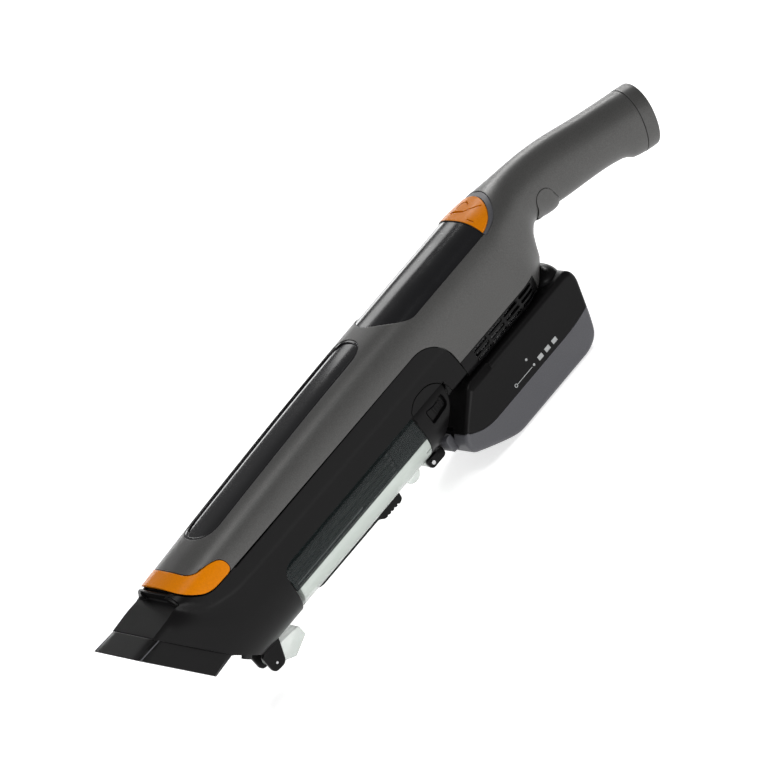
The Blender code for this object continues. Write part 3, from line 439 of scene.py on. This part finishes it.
def skin_solid(name, x0, x1, inset=0.0, pitch=STATION_PITCH, **shape):
    count = max(2, math.ceil((x1 - x0) / pitch))
    return loft(name, [skin_ring(x0 + (x1 - x0) * i / count, inset, **shape) for i in range(count + 1)])


def skin_patch(piece, x0, x1, inset, wall=WALL, pitch=STATION_PITCH):
    """Turns an extruded outline into the piece of the skin inside it, one wall thick."""
    keep(piece, skin_solid(piece.name + "_skin", x0, x1, inset, pitch))
    return cut(piece, skin_solid(piece.name + "_core", x0 - 3, x1 + 3, inset + wall))


def tilted_block(name, behind):
    """All that lies beyond the end cap's seam plane, moved back along the handle by a distance."""
    x, z = CAP_SEAM
    block = box(name, (0, -60, -80), (90, 60, 80))
    turn = Matrix.Rotation(CAP_TILT, 4, "Y")
    shift = Vector((math.cos(CAP_TILT), 0, -math.sin(CAP_TILT))) * behind
    block.data.transform(Matrix.Translation((Vector((x, 0, z)) + shift) * MM) @ turn)
    return block


# ---------------------------------------------------------------- outlines


def strip_outline(by=0.0):
    half, front, rear = STRIP_HALF_WIDTH + by, STRIP_FRONT_X - by, STRIP_REAR_X + by
    return rounded([(front, -half), (rear, -half), (rear, half), (front, half)], 17.0 + by)


def lens_outline(by=0.0):
    half, bow_x, depth = LENS_HALF_WIDTH + by, LENS_FRONT_X + 24, 24 + by
    bow = [(bow_x + depth * x, half * y) for x, y in arc(0, 0, 1.0, 90, 270, 40)]
    return [(LENS_REAR_X + by, half), *bow, (LENS_REAR_X + by, -half)]


def button_outline(rear_x, half, by=0.0):
    front = LENS_REAR_X + 2 * GAP - by
    return [(front + (rear_x + by - front) * x, (half + by) * y) for x, y in arc(0, 0, 1.0, -90, 90, 40)]


def latch_outline(by=0.0):
    """The orange saddle seen from the side: a band over the nose that sweeps down and back into an arm."""
    band_rear = HOUSING_FRONT_X - 0.6 + by
    return rounded([
        (LATCH_FRONT_X - by, 130, 0), (LATCH_FRONT_X - by, 115.5, 5), (-213.5 - by, 106.5 - by, 10),
        (-203, 98 - by, 9), (LATCH_REAR_X + by, 97.8 - by, 5), (LATCH_REAR_X + by, 107.3 + by, 5),
        (-190, 110.6 + by, 6), (-200, 111.5 + by, 6), (band_rear, 116 + by, 8), (band_rear, 130, 0),
    ])


def trigger_outline(by=0.0, rear=0.0):
    x, z = TRIGGER_PIVOT
    crown = arc(x, z, TRIGGER_RADIUS + by, 180, 0, 30)
    front_x, rear_x = x - 10.5 - by, x + 10.5 + by + rear
    return crown + [(rear_x, z - 14), (rear_x, 60), (front_x, 60), (front_x, z - 6)]


def sorted_sides(side, near, far):
    return sorted((side * near, side * far))


# ---------------------------------------------------------------- outer casing


def make_body_shell():
    under = [(-280, 20), (-280, 112), (LATCH_REAR_X - 14, 112), (LATCH_REAR_X - 14, SKIRT_Z)]
    under += arc(REAR_ARC_X, SKIRT_Z - REAR_ARC_RADIUS, REAR_ARC_RADIUS, 90, 0, 40)
    under += [(REAR_ARC_X + REAR_ARC_RADIUS, VENT_TOP_Z), (VENT_REAR_X, VENT_TOP_Z), (VENT_REAR_X, BASE_Z)]
    under += [(145, BASE_Z), (145, 20)]
    shell = skin_solid("body_shell", HOUSING_FRONT_X, 280, 0.0, 3.5)
    cut(shell, skin_solid("shell_core", HOUSING_FRONT_X - 3, 284, WALL))
    cut(shell, prism("shell_under", under))
    cut(shell, prism("shell_latch", latch_outline(0.5)))
    cut(shell, slab("shell_strip", strip_outline(GAP)))
    cut(shell, slab("shell_lens", lens_outline(GAP)))
    cut(shell, slab("shell_button", button_outline(RIM_REAR_X, RIM_HALF_WIDTH, GAP)))
    cut(shell, prism("shell_trigger", trigger_outline(GAP, TRIGGER_TRAVEL)))
    cut(shell, tilted_block("shell_end", 0.0))
    finish(shell, "body", "titanium_grey", "housing_left", "housing_right")


def make_end_cap():
    cap = skin_solid("end_cap", 236, 280, -0.15, 2.0)
    keep(cap, tilted_block("cap_start", GAP + 0.2))
    cut(cap, tilted_block("cap_end", CAP_LENGTH))
    finish(cap, "body", "titanium_grey", "handle_end_cap", edge=1.2)


def make_chassis():
    """The black nose with its lip under the latch, and the skirt along the dust cup."""
    rear_x = REAR_ARC_X + REAR_ARC_RADIUS - GAP
    side = rounded([
        (NOSE_CHIN[0] + 5, 20, 0), (*NOSE_CHIN, 3), (*NOSE_FRONT_LOW, 0), (*NOSE_FRONT_TOP, 1),
        (-229, SHELF_Z, 1), (LATCH_FRONT_X - 2.4, SHELF_Z, 1), (LATCH_FRONT_X - 2.4, 114.2, 0.5),
        (LATCH_FRONT_X - 0.9, 114.2, 0.5), (-214.2, 105.2, 10), (-203, 97.0, 9), (-184, 97.0, 3),
        (LATCH_REAR_X + 2, SKIRT_Z - 0.4, 1),
    ])
    side += arc(REAR_ARC_X, SKIRT_Z - REAR_ARC_RADIUS, REAR_ARC_RADIUS - 0.4, 90, 0, 40)
    side += rounded([
        (rear_x, BASE_Z + 1, 0), (11.2, BASE_Z + 1, 0), (13.4, 60.9, 0), (14.7, 65.2, 0),
        (15.5, WINDOW_TOP_Z, 0), (CUP_FRONT_X - GAP, WINDOW_TOP_Z, WINDOW_RADIUS), (CUP_FRONT_X - GAP, 20, 0),
    ])
    chassis = skin_solid("nose_and_skirt", -262, rear_x + 3, 0.1, 2.5, nose=True)
    keep(chassis, prism("chassis_side", side))
    cut(chassis, rod("cup_recess", (CUP_FRONT_X - GAP, 0, CUP_Z), (40, 0, CUP_Z), CUP_RADIUS + 0.5, 96))
    hollow = skin_solid("nose_hollow", -275, rear_x - 3, 3.4, 12.0)
    cut(hollow, box("hollow_front", (-300, -60, 0), (CUP_FRONT_X + 6, 60, 140)))
    cut(hollow, box("hollow_floor", (-300, -60, 0), (60, 60, 91)))
    cut(chassis, hollow)
    rings = [throat_ring(-218, 14.0, 71), throat_ring(-200, 16.2), throat_ring(-150, 16.2)]
    cut(chassis, loft("throat", [slanted_ring(MOUTH_TOP, MOUTH_LOW, 27, 5, 2), *rings]))
    neck = skin_solid("neck", LATCH_FRONT_X + 0.8, -190, 3.8, nose=True)
    join(chassis, keep(neck, box("neck_top", (-230, -60, 99), (-180, 60, 140))))
    for side in (-1, 1):
        near, far = sorted_sides(side, 16, 40)
        lip = box("latch_lip", (LATCH_FRONT_X - 4, near, SHELF_Z - 0.4), (LATCH_FRONT_X + 3, far, 113.4))
        join(chassis, keep(lip, skin_solid("lip_skin", -232, -212, 1.6)))
    cut(chassis, *cap_seam())
    finish(chassis, "body", "black_plastic", "chassis")
    make_ears()


def make_ears():
    """The two ears under the nose that carry the finger tab's pin."""
    x, z = LATCH_PIN
    outline = rounded([
        (x - 6, 27, 0), (x - 6, z - 4, 4), (x + 5, z - 5, 4), (x + 13, 30, 3), (x + 4, 33, 0),
    ])
    for side, name in ((-1, "latch_ear_left"), (1, "latch_ear_right")):
        ear = prism(name, outline, *sorted_sides(side, 6.8, 10.2))
        cut(ear, rod("ear_hole", (x, -14, z), (x, 14, z), 1.15, 32))
        finish(ear, "body", "black_plastic", edge=0.6)


def throat_ring(x, radius, z=68.0, sides=48):
    """A round section across X whose points line up with those of a slanted ring."""
    half_step = 180 / sides
    return [(x, y, height) for y, height in arc(0, z, radius, half_step, 360 - half_step, sides - 1)]


def slanted_ring(top, low, half_width, power, inset=0.0, sides=48):
    """A rounded-rectangle section on the slanted plane that holds both points and the Y direction."""
    top, low = Vector((top[0], 0, top[1])), Vector((low[0], 0, low[1]))
    centre, up = (top + low) / 2, (top - low).normalized()
    reach, half = (top - low).length / 2 - inset, half_width - inset
    ring = []
    for i in range(sides):
        angle = 2 * math.pi * (i + 0.5) / sides
        c, s = math.cos(angle), math.sin(angle)
        distance = (abs(c / half) ** power + abs(s / reach) ** power) ** (-1 / power)
        ring.append(tuple(centre + distance * (Vector((0, 1, 0)) * c + up * s)))
    return ring


def make_nozzle():
    """A slanted mouth that widens from the nose seam, with thin slate-grey rods along its corners and round
    its lip as painted edge highlights.
    """
    seam_top = (NOSE_FRONT_TOP[0] - SEAM, NOSE_FRONT_TOP[1])
    seam_low = (NOSE_FRONT_LOW[0] - SEAM, NOSE_FRONT_LOW[1])
    mouth, seam = (MOUTH_TOP, MOUTH_LOW, 31.0, 16), (seam_top, seam_low, 29.0, 14)
    rings = [slanted_ring(*mouth, sides=96), slanted_ring(*seam, sides=96)]
    nozzle = loft("nozzle_moulding", blended(rings, 12))
    inner = [slanted_ring(*mouth, 2.0, sides=96), slanted_ring(*seam, 2.6, sides=96)]
    cut(nozzle, loft("nozzle_duct", blended(inner, 6, 0.12)))
    finish(nozzle, "nozzle", "black_plastic", "nozzle", angle=28)
    # Slate-grey rods on the black corners and round the mouth: painted highlights of the rounded glossy
    # edges.
    corners = [ring[len(ring) // 8::len(ring) // 4] for ring in rings]
    for i, (low, high) in enumerate(zip(*corners)):
        finish(rod(f"nozzle_edge_{i + 1}", low, high, 0.4, 12), "nozzle", "slate_grey")
        finish(rod(f"nozzle_lip_{i + 1}", low, corners[0][i - 1], 0.4, 12), "nozzle", "slate_grey")


def blended(ends, steps, beyond=0.0):
    """Rings spaced evenly between two rings, and beyond both by a share of the distance."""
    rings = []
    for i in range(steps + 1):
        t = -beyond + (1 + 2 * beyond) * i / steps
        rings.append([tuple(Vector(a) + (Vector(b) - Vector(a)) * t) for a, b in zip(*ends)])
    return rings


def make_nose_latch():
    latch = prism("latch_saddle", latch_outline())
    skin_patch(latch, -224, LATCH_REAR_X + 3, -0.25, 2.4, 1.5)
    finish(latch, "nose_latch", "orange_plastic", "nose_latch")


# ---------------------------------------------------------------- controls


def make_strip():
    """The long inlay: a rim with a floor set down inside it."""
    strip = slab("inlay_channel", strip_outline())
    skin_patch(strip, STRIP_FRONT_X - 2, STRIP_REAR_X + 2, 0.35, 3.4)
    pocket = slab("inlay_pocket", strip_outline(-1.8))
    cut(pocket, skin_solid("inlay_floor", STRIP_FRONT_X - 8, STRIP_REAR_X + 8, 1.3))
    cut(strip, pocket)
    finish(strip, "body", "gloss_black", "inlay_strip")


def make_display():
    lens = slab("display_window", lens_outline())
    skin_patch(lens, LENS_FRONT_X - 9, LENS_REAR_X + 7, 0.7, 2.0)
    finish(lens, "body", "gloss_black", "display_lens")
    for i, x in enumerate((70, 83, 96)):
        tick = slab(f"display_tick_{i + 1}", [(x, -1.6), (x + 0.5, -1.6), (x + 0.5, 1.6), (x, 1.6)])
        skin_patch(tick, x - 3, x + 3.5, 0.62, 0.3, 2.0)
        finish(tick, "body", "light_grey")


def make_button():
    """The sprung key with its engraved sign, and the dark rim round its rear."""
    button = slab("power_key", button_outline(BUTTON_REAR_X, BUTTON_HALF_WIDTH))
    skin_patch(button, LENS_REAR_X - 7, BUTTON_REAR_X + 2, -0.1, 2.2, 2.0)
    engraving = [
        stroke((114.6, 10.5), (116.0, -3.4), 1.0), stroke((115.6, -2.8), (124.8, -14.6), 0.6),
        stroke((110.4, -13.9), (110.5, -19.9), 0.45), stroke((119.2, 7.6), (123.4, 7.8), 0.45),
        stroke((123.2, 8.0), (125.4, 2.4), 0.45), stroke((125.4, 2.8), (122.8, -2.6), 0.45),
    ]
    lines = [slab(f"icon_{i}", outline) for i, outline in enumerate(engraving)]
    for line in lines:
        cut(line, skin_solid("icon_floor", 100, 140, 0.9))
    cut(button, *lines)
    finish(button, "power_button", "orange_plastic", "power_button")
    rim = slab("key_surround", button_outline(RIM_REAR_X, RIM_HALF_WIDTH), 101.0, 139.0)
    cut(rim, slab("surround_opening", button_outline(BUTTON_REAR_X, BUTTON_HALF_WIDTH, GAP + 0.1)))
    skin_patch(rim, LENS_REAR_X - 7, RIM_REAR_X + 2, 0.35, 2.0, 2.0)
    finish(rim, "body", "slate_grey", "button_rim")


def stroke(start, end, half):
    """A straight pen stroke with square ends, as a top-view outline."""
    start, end = Vector(start), Vector(end)
    side = (end - start).orthogonal().normalized() * half
    return [tuple(start - side), tuple(end - side), tuple(end + side), tuple(start + side)]


def make_trigger():
    """The lever under the grip: the skin's own shape, swollen downwards about the pivot."""
    x, z = TRIGGER_PIVOT
    bulge = [(x + dx, TRIGGER_PROUD * max(0.0, 1 - (dx / 11) ** 4)) for dx in range(-16, 17)]
    trigger = loft("trigger_lever", [skin_ring(at, -0.3, proud=proud) for at, proud in bulge])
    keep(trigger, prism("trigger_shape", trigger_outline()))
    cut(trigger, box("trigger_hollow", (x - 20, -11, z - 8), (x + 20, 11, z + 20)))
    finish(trigger, "trigger", "titanium_grey", "trigger")


# ---------------------------------------------------------------- vents


def make_vents():
    x0, x1 = REAR_ARC_X + REAR_ARC_RADIUS, VENT_REAR_X - GAP
    for side, name in ((-1, "vent_grille_left"), (1, "vent_grille_right")):
        edge = [(x0, BASE_Z + 0.2), (x1, BASE_Z + 0.2), (x1, VENT_TOP_Z - GAP), (x0, VENT_TOP_Z - GAP)]
        grille = prism(name + "_fine", edge, *sorted_sides(side, 25.6, 60))
        skin_patch(grille, x0 - 8, x1 + 6, 0.15, 2.2)
        for row in range(3):
            for column in range(4):
                x, z = VENT_FIRST_X + column * VENT_STEP_X, VENT_FIRST_Z + row * VENT_STEP_Z
                x_end, z_end = x + VENT_SLOT_LENGTH, z + VENT_SLOT_HEIGHT
                slot = rounded([(x, z), (x_end, z), (x_end, z_end), (x, z_end)], 0.9, 3)
                cut(grille, prism("vent_slot", slot, *sorted_sides(side, 24, 65)))
        finish(grille, "body", "black_plastic", name)


# ---------------------------------------------------------------- dust cup, lid and filter


def make_cup():
    """The cup's upper half, with ribs inside each wall, a pale rod along each wall as a painted highlight
    streak, and a baffle at the front.
    """
    start, end = (CUP_FRONT_X + GAP, 0, CUP_Z), (CUP_REAR_X - GAP, 0, CUP_Z)
    cup = tube("cup_shell", start, end, CUP_RADIUS, CUP_RADIUS - CUP_WALL)
    cut(cup, box("cup_below", (-200, -60, 0), (0, 60, LID_SEAM_Z + 0.15)))
    finish(cup, "body", "smoked_clear", "dust_cup")
    front_x = CUP_FRONT_X + 4
    for i, angle in enumerate(CUP_RIB_ANGLES):
        y = -CUP_RIB_RADIUS * math.cos(math.radians(angle))
        z = CUP_Z + CUP_RIB_RADIUS * math.sin(math.radians(angle))
        rib = rod(f"cup_rib_{i + 1}", (front_x, y, z), (CAGE_REAR_X, y, z), 0.75, 12)
        finish(rib, "body", "black_plastic")
    # A pale grey rod along each wall: a painted highlight streak standing in for a reflection in the clear
    # cup.
    for side, name in ((-1, "left"), (1, "right")):
        y = side * STREAK_HALF_WIDTH
        start, end = (front_x, y, STREAK_FRONT_Z), (STREAK_REAR_X, y, STREAK_REAR_Z)
        finish(rod(f"cup_guide_{name}", start, end, 0.5, 12), "body", "light_grey")
    low, high = (CUP_FRONT_X + 3.4, -24.5, LID_SEAM_Z + 0.8), (FILTER_FRONT_X - 3.6, 24.5, LID_SEAM_Z + 2)
    finish(box("dust_baffle", low, high), "body", "filter_media", edge=0.4)
    start, end = (CUP_FRONT_X + 0.2, 0, CUP_Z), (CUP_FRONT_X + 3.0, 0, CUP_Z)
    rim = tube("cup_front_ring", start, end, CUP_RADIUS + 0.25, 26.5)
    cut(rim, box("ring_below", (-200, -60, 0), (0, 60, LID_SEAM_Z + 0.4)))
    finish(rim, "body", "smoked_clear")


def make_lid():
    """The cup's lower half, with end walls, room for the filter, a lobe and the hinge's knuckle."""
    front_x, rear_x = CUP_FRONT_X + 2.8, CUP_REAR_X - 0.6
    lid = tube("cup_lid", (front_x, 0, CUP_Z), (rear_x, 0, CUP_Z), CUP_RADIUS, CUP_RADIUS - CUP_WALL)
    for x in (front_x + 0.1, rear_x - CUP_WALL - 0.1):
        join(lid, rod("lid_end", (x, 0, CUP_Z), (x + CUP_WALL, 0, CUP_Z), CUP_RADIUS - 0.4, 96))
    cut(lid, box("lid_above", (-200, -60, LID_SEAM_Z - 0.15), (0, 60, 120)))
    cut(lid, box("lid_filter_room", (rear_x - 5, -24, LID_REAR_WALL_Z), (rear_x + 2, 24, 60)))
    join(lid, prism("lid_lobe", arc(-34, 28.4, 7.0, 180, 360), -3.5, 3.5))
    x, z = LID_PIN
    knuckle = arc(x, z, 3.6, 160, 360, 20) + [(x + 3.2, 27.4), (x + 0.3, 31), (x - 5, 31)]
    join(lid, prism("lid_knuckle", knuckle, -5.5, 5.5))
    cut(lid, rod("lid_bore", (x, -12, z), (x, 12, z), 1.8, 32))
    finish(lid, "dust_lid", "clear", "dust_lid")


def cap_seam():
    """Cutters for the narrow arched groove round the cap, one for each side."""
    outer = rounded([
        (-17.4, 62, 0), (-17.4, 71, 2), (-9.5, 77, 5), (6, 77.4, 9), (17, 66, 9), (17.2, 50, 5), (13, 45, 0),
    ])
    inner = rounded([
        (-16.8, 62, 0), (-16.8, 70.7, 2), (-9.3, 76.4, 5), (5.7, 76.8, 9), (16.4, 65.8, 9), (16.6, 50.2, 5),
        (12.6, 45.4, 0),
    ])
    return [prism("cap_seam", outer + inner[::-1], *sorted_sides(side, 26, 60)) for side in (-1, 1)]


def make_rear_cap():
    """The cup's rear cap, and the ribbed release keys in their drop-shaped pockets."""
    side = rounded([
        (CUP_REAR_X, 20, 0), (CUP_REAR_X, 95, 0), (15.5, 95, 3), (15.5, 60, 16), (-3, 38, 12),
        (-13.5, 26, 3), (-14, 20, 0),
    ])
    cap = rod("rear_cap", (CUP_REAR_X, 0, CUP_Z), (18, 0, CUP_Z), CUP_RADIUS + 0.1, 128)
    keep(cap, prism("rear_cap_side", side))
    cut(cap, *cap_seam())
    drop = [(-8.5, 52, 2), (-8, 63.5, 3), (1, 61.5, 6), (10, 64.5, 4), (8.5, 54, 4)]
    for sign, name in ((-1, "left"), (1, "right")):
        cut(cap, prism("drop_pocket", rounded(drop), *sorted_sides(sign, 26.4, 40)))
    finish(cap, "body", "black_plastic", "cup_cap")
    inner = rounded([(-7, 53.5, 1.5), (-6.6, 61.6, 2), (1, 60, 6), (8.6, 62.4, 3), (7.2, 55.5, 3)])
    for sign, name in ((-1, "left"), (1, "right")):
        key = prism(f"release_key_{name}", inner, *sorted_sides(sign, 24.5, KEY_RIB_SIDE))
        for i in range(4):
            x, y = -1.5 + 2.3 * i, sign * KEY_RIB_SIDE
            join(key, rod("key_rib", (x, y, KEY_RIB_LOW), (x, y, KEY_RIB_HIGH), 0.7, 16))
        finish(key, f"cup_button_{name}", "black_plastic", f"cup_button_{name}")


def make_filter():
    """Tightly pleated media behind the cage's lengthwise ribs, with a slate collar at the rear."""
    rings = []
    for x in (FILTER_FRONT_X, FILTER_REAR_X):
        ring = []
        for i in range(PLEATS * 4):
            angle = math.pi / 2 * i / PLEATS
            radius = FILTER_RADIUS + 1.8 if i % 4 < 2 else FILTER_RADIUS - 2.6
            ring.append((x, radius * math.cos(angle), FILTER_Z + radius * math.sin(angle)))
        rings.append(ring)
    media = loft("filter_pleats", rings)
    cut(media, rod("media_core", (FILTER_FRONT_X - 2, 0, FILTER_Z), (FILTER_REAR_X + 2, 0, FILTER_Z), 15.0))
    finish(media, "body", "filter_media", "pleated_filter", angle=20)
    for i in range(CAGE_RIBS):
        angle = math.radians(360 / CAGE_RIBS * i + 6)
        y, z = CAGE_RADIUS * math.cos(angle), FILTER_Z + CAGE_RADIUS * math.sin(angle)
        rib = rod(f"cage_rib_{i + 1}", (FILTER_FRONT_X - 2, y, z), (CAGE_REAR_X, y, z), 1.4, 16)
        finish(rib, "body", "black_plastic")
    front_x, rear_x = FILTER_FRONT_X - 3, CAGE_REAR_X - 1.5
    for name, x, slot in (("cage_front", front_x, "black_plastic"), ("cage_rear", rear_x, "light_grey")):
        ring = tube(name, (x, 0, FILTER_Z), (x + 3, 0, FILTER_Z), 24.2, 21.6)
        finish(ring, "body", slot, edge=0.5)
    collar = tube("filter_collar", (-44.2, 0, FILTER_Z - 2), (-21, 0, FILTER_Z - 2), 25.0, 22.6)
    cut(collar, box("collar_low", (-60, -40, 20), (0, 40, LID_REAR_WALL_Z + 2.5)))
    finish(collar, "body", "slate_grey", edge=0.6)


# ---------------------------------------------------------------- hinge, slider and latch under the cup


def make_hinge_and_slider():
    """The block that carries the lid's pin, and the rail along the lid with its ribbed thumb tab."""
    x, z = LID_PIN
    side = rounded([(x - 3.6, 20.7, 3.4), (x - 3.6, 27.9, 3.4), (-7, 27.5, 1), (-7.5, 20.7, 3)])
    bracket = prism("hinge_block", side, -9.5, 9.5)
    cut(bracket, box("knuckle_slot", (-30, -6.0, 10), (x + 4.6, 6.0, 40)))
    cut(bracket, rod("bracket_bore", (x, -12, z), (x, 12, z), 1.7, 32))
    finish(bracket, "body", "black_plastic", "hinge_bracket", edge=0.4)
    low = CUP_Z - CUP_RADIUS
    rail = [(-136, low - GAP, 0), (-136, 26.4, 1), (-132, 25.4, 1), (-73, 25.2, 1.5), (-69, 21.8, 1.5)]
    thumb_tab = [(-53, 21.2, 1.0), (-50.5, 22.6, 1.0), (-49.5, low - GAP, 0)]
    slider = prism("lid_rail", rounded(rail + thumb_tab), -5.0, 5.0)
    for i in range(4):
        grip_x = -66.5 + 3.4 * i
        cut(slider, box("grip", (grip_x, -6, 16), (grip_x + 1.3, 6, 22.2)))
    finish(slider, "lid_slider", "black_plastic", "lid_slider", edge=0.3)


def make_finger_tab():
    x, z = LATCH_PIN
    tab = [(x - 2.5, z + 2.5, 2.4), (x - 2.5, z - 2.5, 2.4), (x + 6, z - 5, 2), (x + 14, z - 9.5, 1)]
    tab += [(x + 29, z - 4, 1), (x + 29, z + 4, 1), (x + 12, z + 6, 2)]
    latch = prism("finger_tab", rounded(tab), -6.4, 6.4)
    cut(latch, rod("tab_bore", (x, -12, z), (x, 12, z), 1.15, 32))
    finish(latch, "lid_latch", "clear", "lid_latch", edge=0.4)


# ---------------------------------------------------------------- battery


def battery_outline(by=0.0):
    """The whole battery from the side, from its top front corner round to its top rear corner."""
    return rounded([
        (26 + by, BATTERY_TOP_Z - by, 4), (3 + by, 33, 8), (-2 + by, 26, 3), (-2 + by, 17 + by, 4),
        (11 + by, 10 + by, 8), (25, 3.3 + by, 6), (34, by, 5), (110, by, 5), (120, 4 + by, 7),
        (126 - by, 15, 8), (137.5 - by, 46 - by / 2, 6), (134 - by, BATTERY_TOP_Z - by, 5),
    ], steps=6)


def cover_edge(by=0.0):
    """The parting line between the battery's two mouldings, from front to rear."""
    bends = rounded([(2, 31 + by, 4), (17, COVER_Z + by, 12), (116, COVER_Z + by, 16), (140, 28 + by, 0)])
    return [(-20, 31 + by), *bends[:-1], (142, 28 + by)]


def rounded_battery(name, by):
    """The battery's outline from side to side, drawn in along a quarter circle at each side."""
    radius, steps = BATTERY_EDGE_RADIUS, 8
    rings = []
    for side in (-1, 1):
        quarter = [math.pi / 2 * i / steps for i in range(steps + 1)]
        for angle in quarter if side < 0 else reversed(quarter):
            y = side * (BATTERY_HALF_WIDTH - by - radius * (1 - math.cos(angle)))
            rings.append([(x, y, z) for x, z in battery_outline(by + radius * (1 - math.sin(angle)))])
    return loft(name, rings)


def make_battery():
    """The battery's black housing over its slate cover, with the release clip in front and marks beside."""
    half = CLIP_POCKET_HALF_WIDTH
    shell = rounded_battery("battery_upper", 0.0)
    cut(shell, prism("upper_line", [*cover_edge(0.2), (142, -10), (-20, -10)]))
    cut(shell, rounded_battery("battery_hollow", 2.0))
    cut(shell, box("terminal_channel", (0, -10.5, 48.9), (60, 10.5, 60)))
    cut(shell, box("clip_pocket", (-10, -half, 20.4), (5, half, 33.6)))
    for side in (-1, 1):
        cut(shell, rod("scoop", (30, side * 60, 66), (30, side * 33.7, 51.2), 17, 64))
    join(shell, rear_hump())
    finish(shell, "battery", "black_plastic", "battery_housing")
    cover = rounded_battery("battery_lower", 0.0)
    cut(cover, prism("lower_line", [*cover_edge(-0.2), (142, 70), (-20, 70)]))
    cut(cover, box("lower_clip_pocket", (-10, -half, 20.4), (5, half, 40)))
    finish(cover, "battery", "slate_grey", "battery_cover")
    clip_side = rounded([(-6, 21), (-6, 31), (-3.5, 33), (0.2, 33), (0.2, 21)], 1.2)
    clip = prism("release_clip", clip_side, -CLIP_HALF_WIDTH, CLIP_HALF_WIDTH)
    finish(clip, "battery_clip", "slate_grey", "battery_clip", edge=0.8)
    make_charge_marks()


def rear_hump():
    """The rounded shoulder on the battery's top, behind the body."""
    bm = bmesh.new()
    bmesh.ops.create_uvsphere(bm, u_segments=64, v_segments=32, radius=1.0)
    for vert in bm.verts:
        reach = [math.copysign(abs(c) ** 0.8, c) for c in vert.co]
        vert.co = Vector((124.5 + 13.0 * reach[0], 27.5 * reach[1], 50.5 + 9.5 * reach[2])) * MM
    hump = from_bmesh("hump", bm)
    cut(hump, box("hump_below", (90, -60, 20), (160, 60, 51.6)))
    return cut(hump, skin_solid("hump_clearance", 60, 200, -0.6, 3.0))


def make_charge_marks():
    """Three charge bars, two dots, a line and a ring, printed on the battery's side."""
    near, proud = -BATTERY_HALF_WIDTH + 0.2, -BATTERY_HALF_WIDTH - 0.05
    for i in range(3):
        x = 76.5 + 7.6 * i
        side = [(x, 25.2), (x + 4.6, 25.2), (x + 4.6, 28.4), (x, 28.4)]
        bar = prism(f"charge_bar_{i + 1}", side, proud, near)
        finish(bar, "battery", "light_grey", *(["charge_lens"] if i == 0 else []))
    for i, (x, z) in enumerate(((69.5, 33.5), (71.5, 26.6))):
        finish(rod(f"status_dot_{i + 1}", (x, near, z), (x, proud, z), 0.95, 24), "battery", "light_grey")
    line = prism("status_line", [(53.5, 26.3), (69.5, 26.3), (69.5, 26.8), (53.5, 26.8)], proud, near)
    finish(line, "battery", "light_grey")
    finish(tube("status_ring", (52, near, 26.6), (52, proud, 26.6), 1.4, 0.85, 32), "battery", "light_grey")


# ---------------------------------------------------------------- the CAD nodes that stay


def dress_cad_nodes():
    """Every node of the frame takes the finish of its slot in the record."""
    for part in frame["record"]["subparts"]:
        node = frame["nodes"][part["node"]]
        node.data.materials.clear()
        node.data.materials.append(LOOKS[part["material_slot"]])


# ---------------------------------------------------------------- floor, light and camera


def make_floor():
    bm = bmesh.new()
    bmesh.ops.create_grid(bm, x_segments=1, y_segments=1, size=12.0)
    floor = from_bmesh("floor", bm)
    floor.location.z = -0.0004
    nodes = Nodes("pale_floor")
    nodes.colours(nodes.ramp(nodes.noise(300.0), 0, 1), (0.88, 0.88, 0.88), (0.9, 0.9, 0.9))
    nodes.shader.inputs["Roughness"].default_value = 0.6
    nodes.shader.inputs["Emission Color"].default_value = (1, 1, 1, 1)
    nodes.shader.inputs["Emission Strength"].default_value = 0.6
    floor.data.materials.append(nodes.material)


def area_light(name, place, target, width, height, power):
    data = bpy.data.lights.new(name, "AREA")
    data.shape = "RECTANGLE"
    data.size, data.size_y = width, height
    data.energy = power
    lamp = bpy.data.objects.new(name, data)
    bpy.context.scene.collection.objects.link(lamp)
    lamp.location = place
    lamp.rotation_euler = (Vector(target) - Vector(place)).to_track_quat("-Z", "Y").to_euler()


def make_light():
    world = bpy.data.worlds.new("studio")
    bpy.context.scene.world = world
    world.use_nodes = True
    world.node_tree.nodes["Background"].inputs["Color"].default_value = (1, 1, 1, 1)
    world.node_tree.nodes["Background"].inputs["Strength"].default_value = 0.25
    middle = (0, 0, 0.08)
    area_light("key", (-0.75, -1.65, 0.45), middle, 1.8, 0.7, 13.5)
    area_light("top", (-0.3, -0.35, 1.6), middle, 1.8, 0.35, 11)
    area_light("rim", (0.7, 1.8, 0.3), (0.15, 0, 0.1), 1.6, 0.3, 6)
    area_light("handle", (1.2, 1.15, 1.15), (0.2, 0, 0.1), 0.8, 0.5, 16)
    area_light("streak", (0.63, 1.52, 0.87), (0.06, 0, 0.12), 0.22, 0.22, 0.45)


def make_camera():
    azimuth, elevation, roll = (math.radians(angle) for angle in VIEW_ANGLES)
    target, distance = Vector(VIEW_TARGET) * MM, VIEW_DISTANCE * MM
    right = Vector((math.cos(azimuth), math.sin(azimuth), 0))
    level = math.cos(elevation)
    back = Vector((math.sin(azimuth) * level, -math.cos(azimuth) * level, math.sin(elevation)))
    up = back.cross(right)
    across = right * math.cos(roll) - up * math.sin(roll)
    above = right * math.sin(roll) + up * math.cos(roll)
    data = bpy.data.cameras.new("camera")
    data.sensor_width = 36.0
    data.lens = LENS_MM
    data.clip_end = 50.0
    camera = bpy.data.objects.new("camera", data)
    bpy.context.scene.collection.objects.link(camera)
    turn = Matrix((across, above, back)).transposed().to_4x4()
    camera.matrix_world = Matrix.Translation(target + back * distance) @ turn
    bpy.context.scene.camera = camera


make_body_shell()
make_end_cap()
make_chassis()
make_nozzle()
make_nose_latch()
make_strip()
make_display()
make_button()
make_trigger()
make_vents()
make_cup()
make_lid()
make_rear_cap()
make_filter()
make_hinge_and_slider()
make_finger_tab()
make_battery()
dress_cad_nodes()
make_floor()
make_light()
make_camera()
bpy.context.scene.view_settings.view_transform = "Standard"
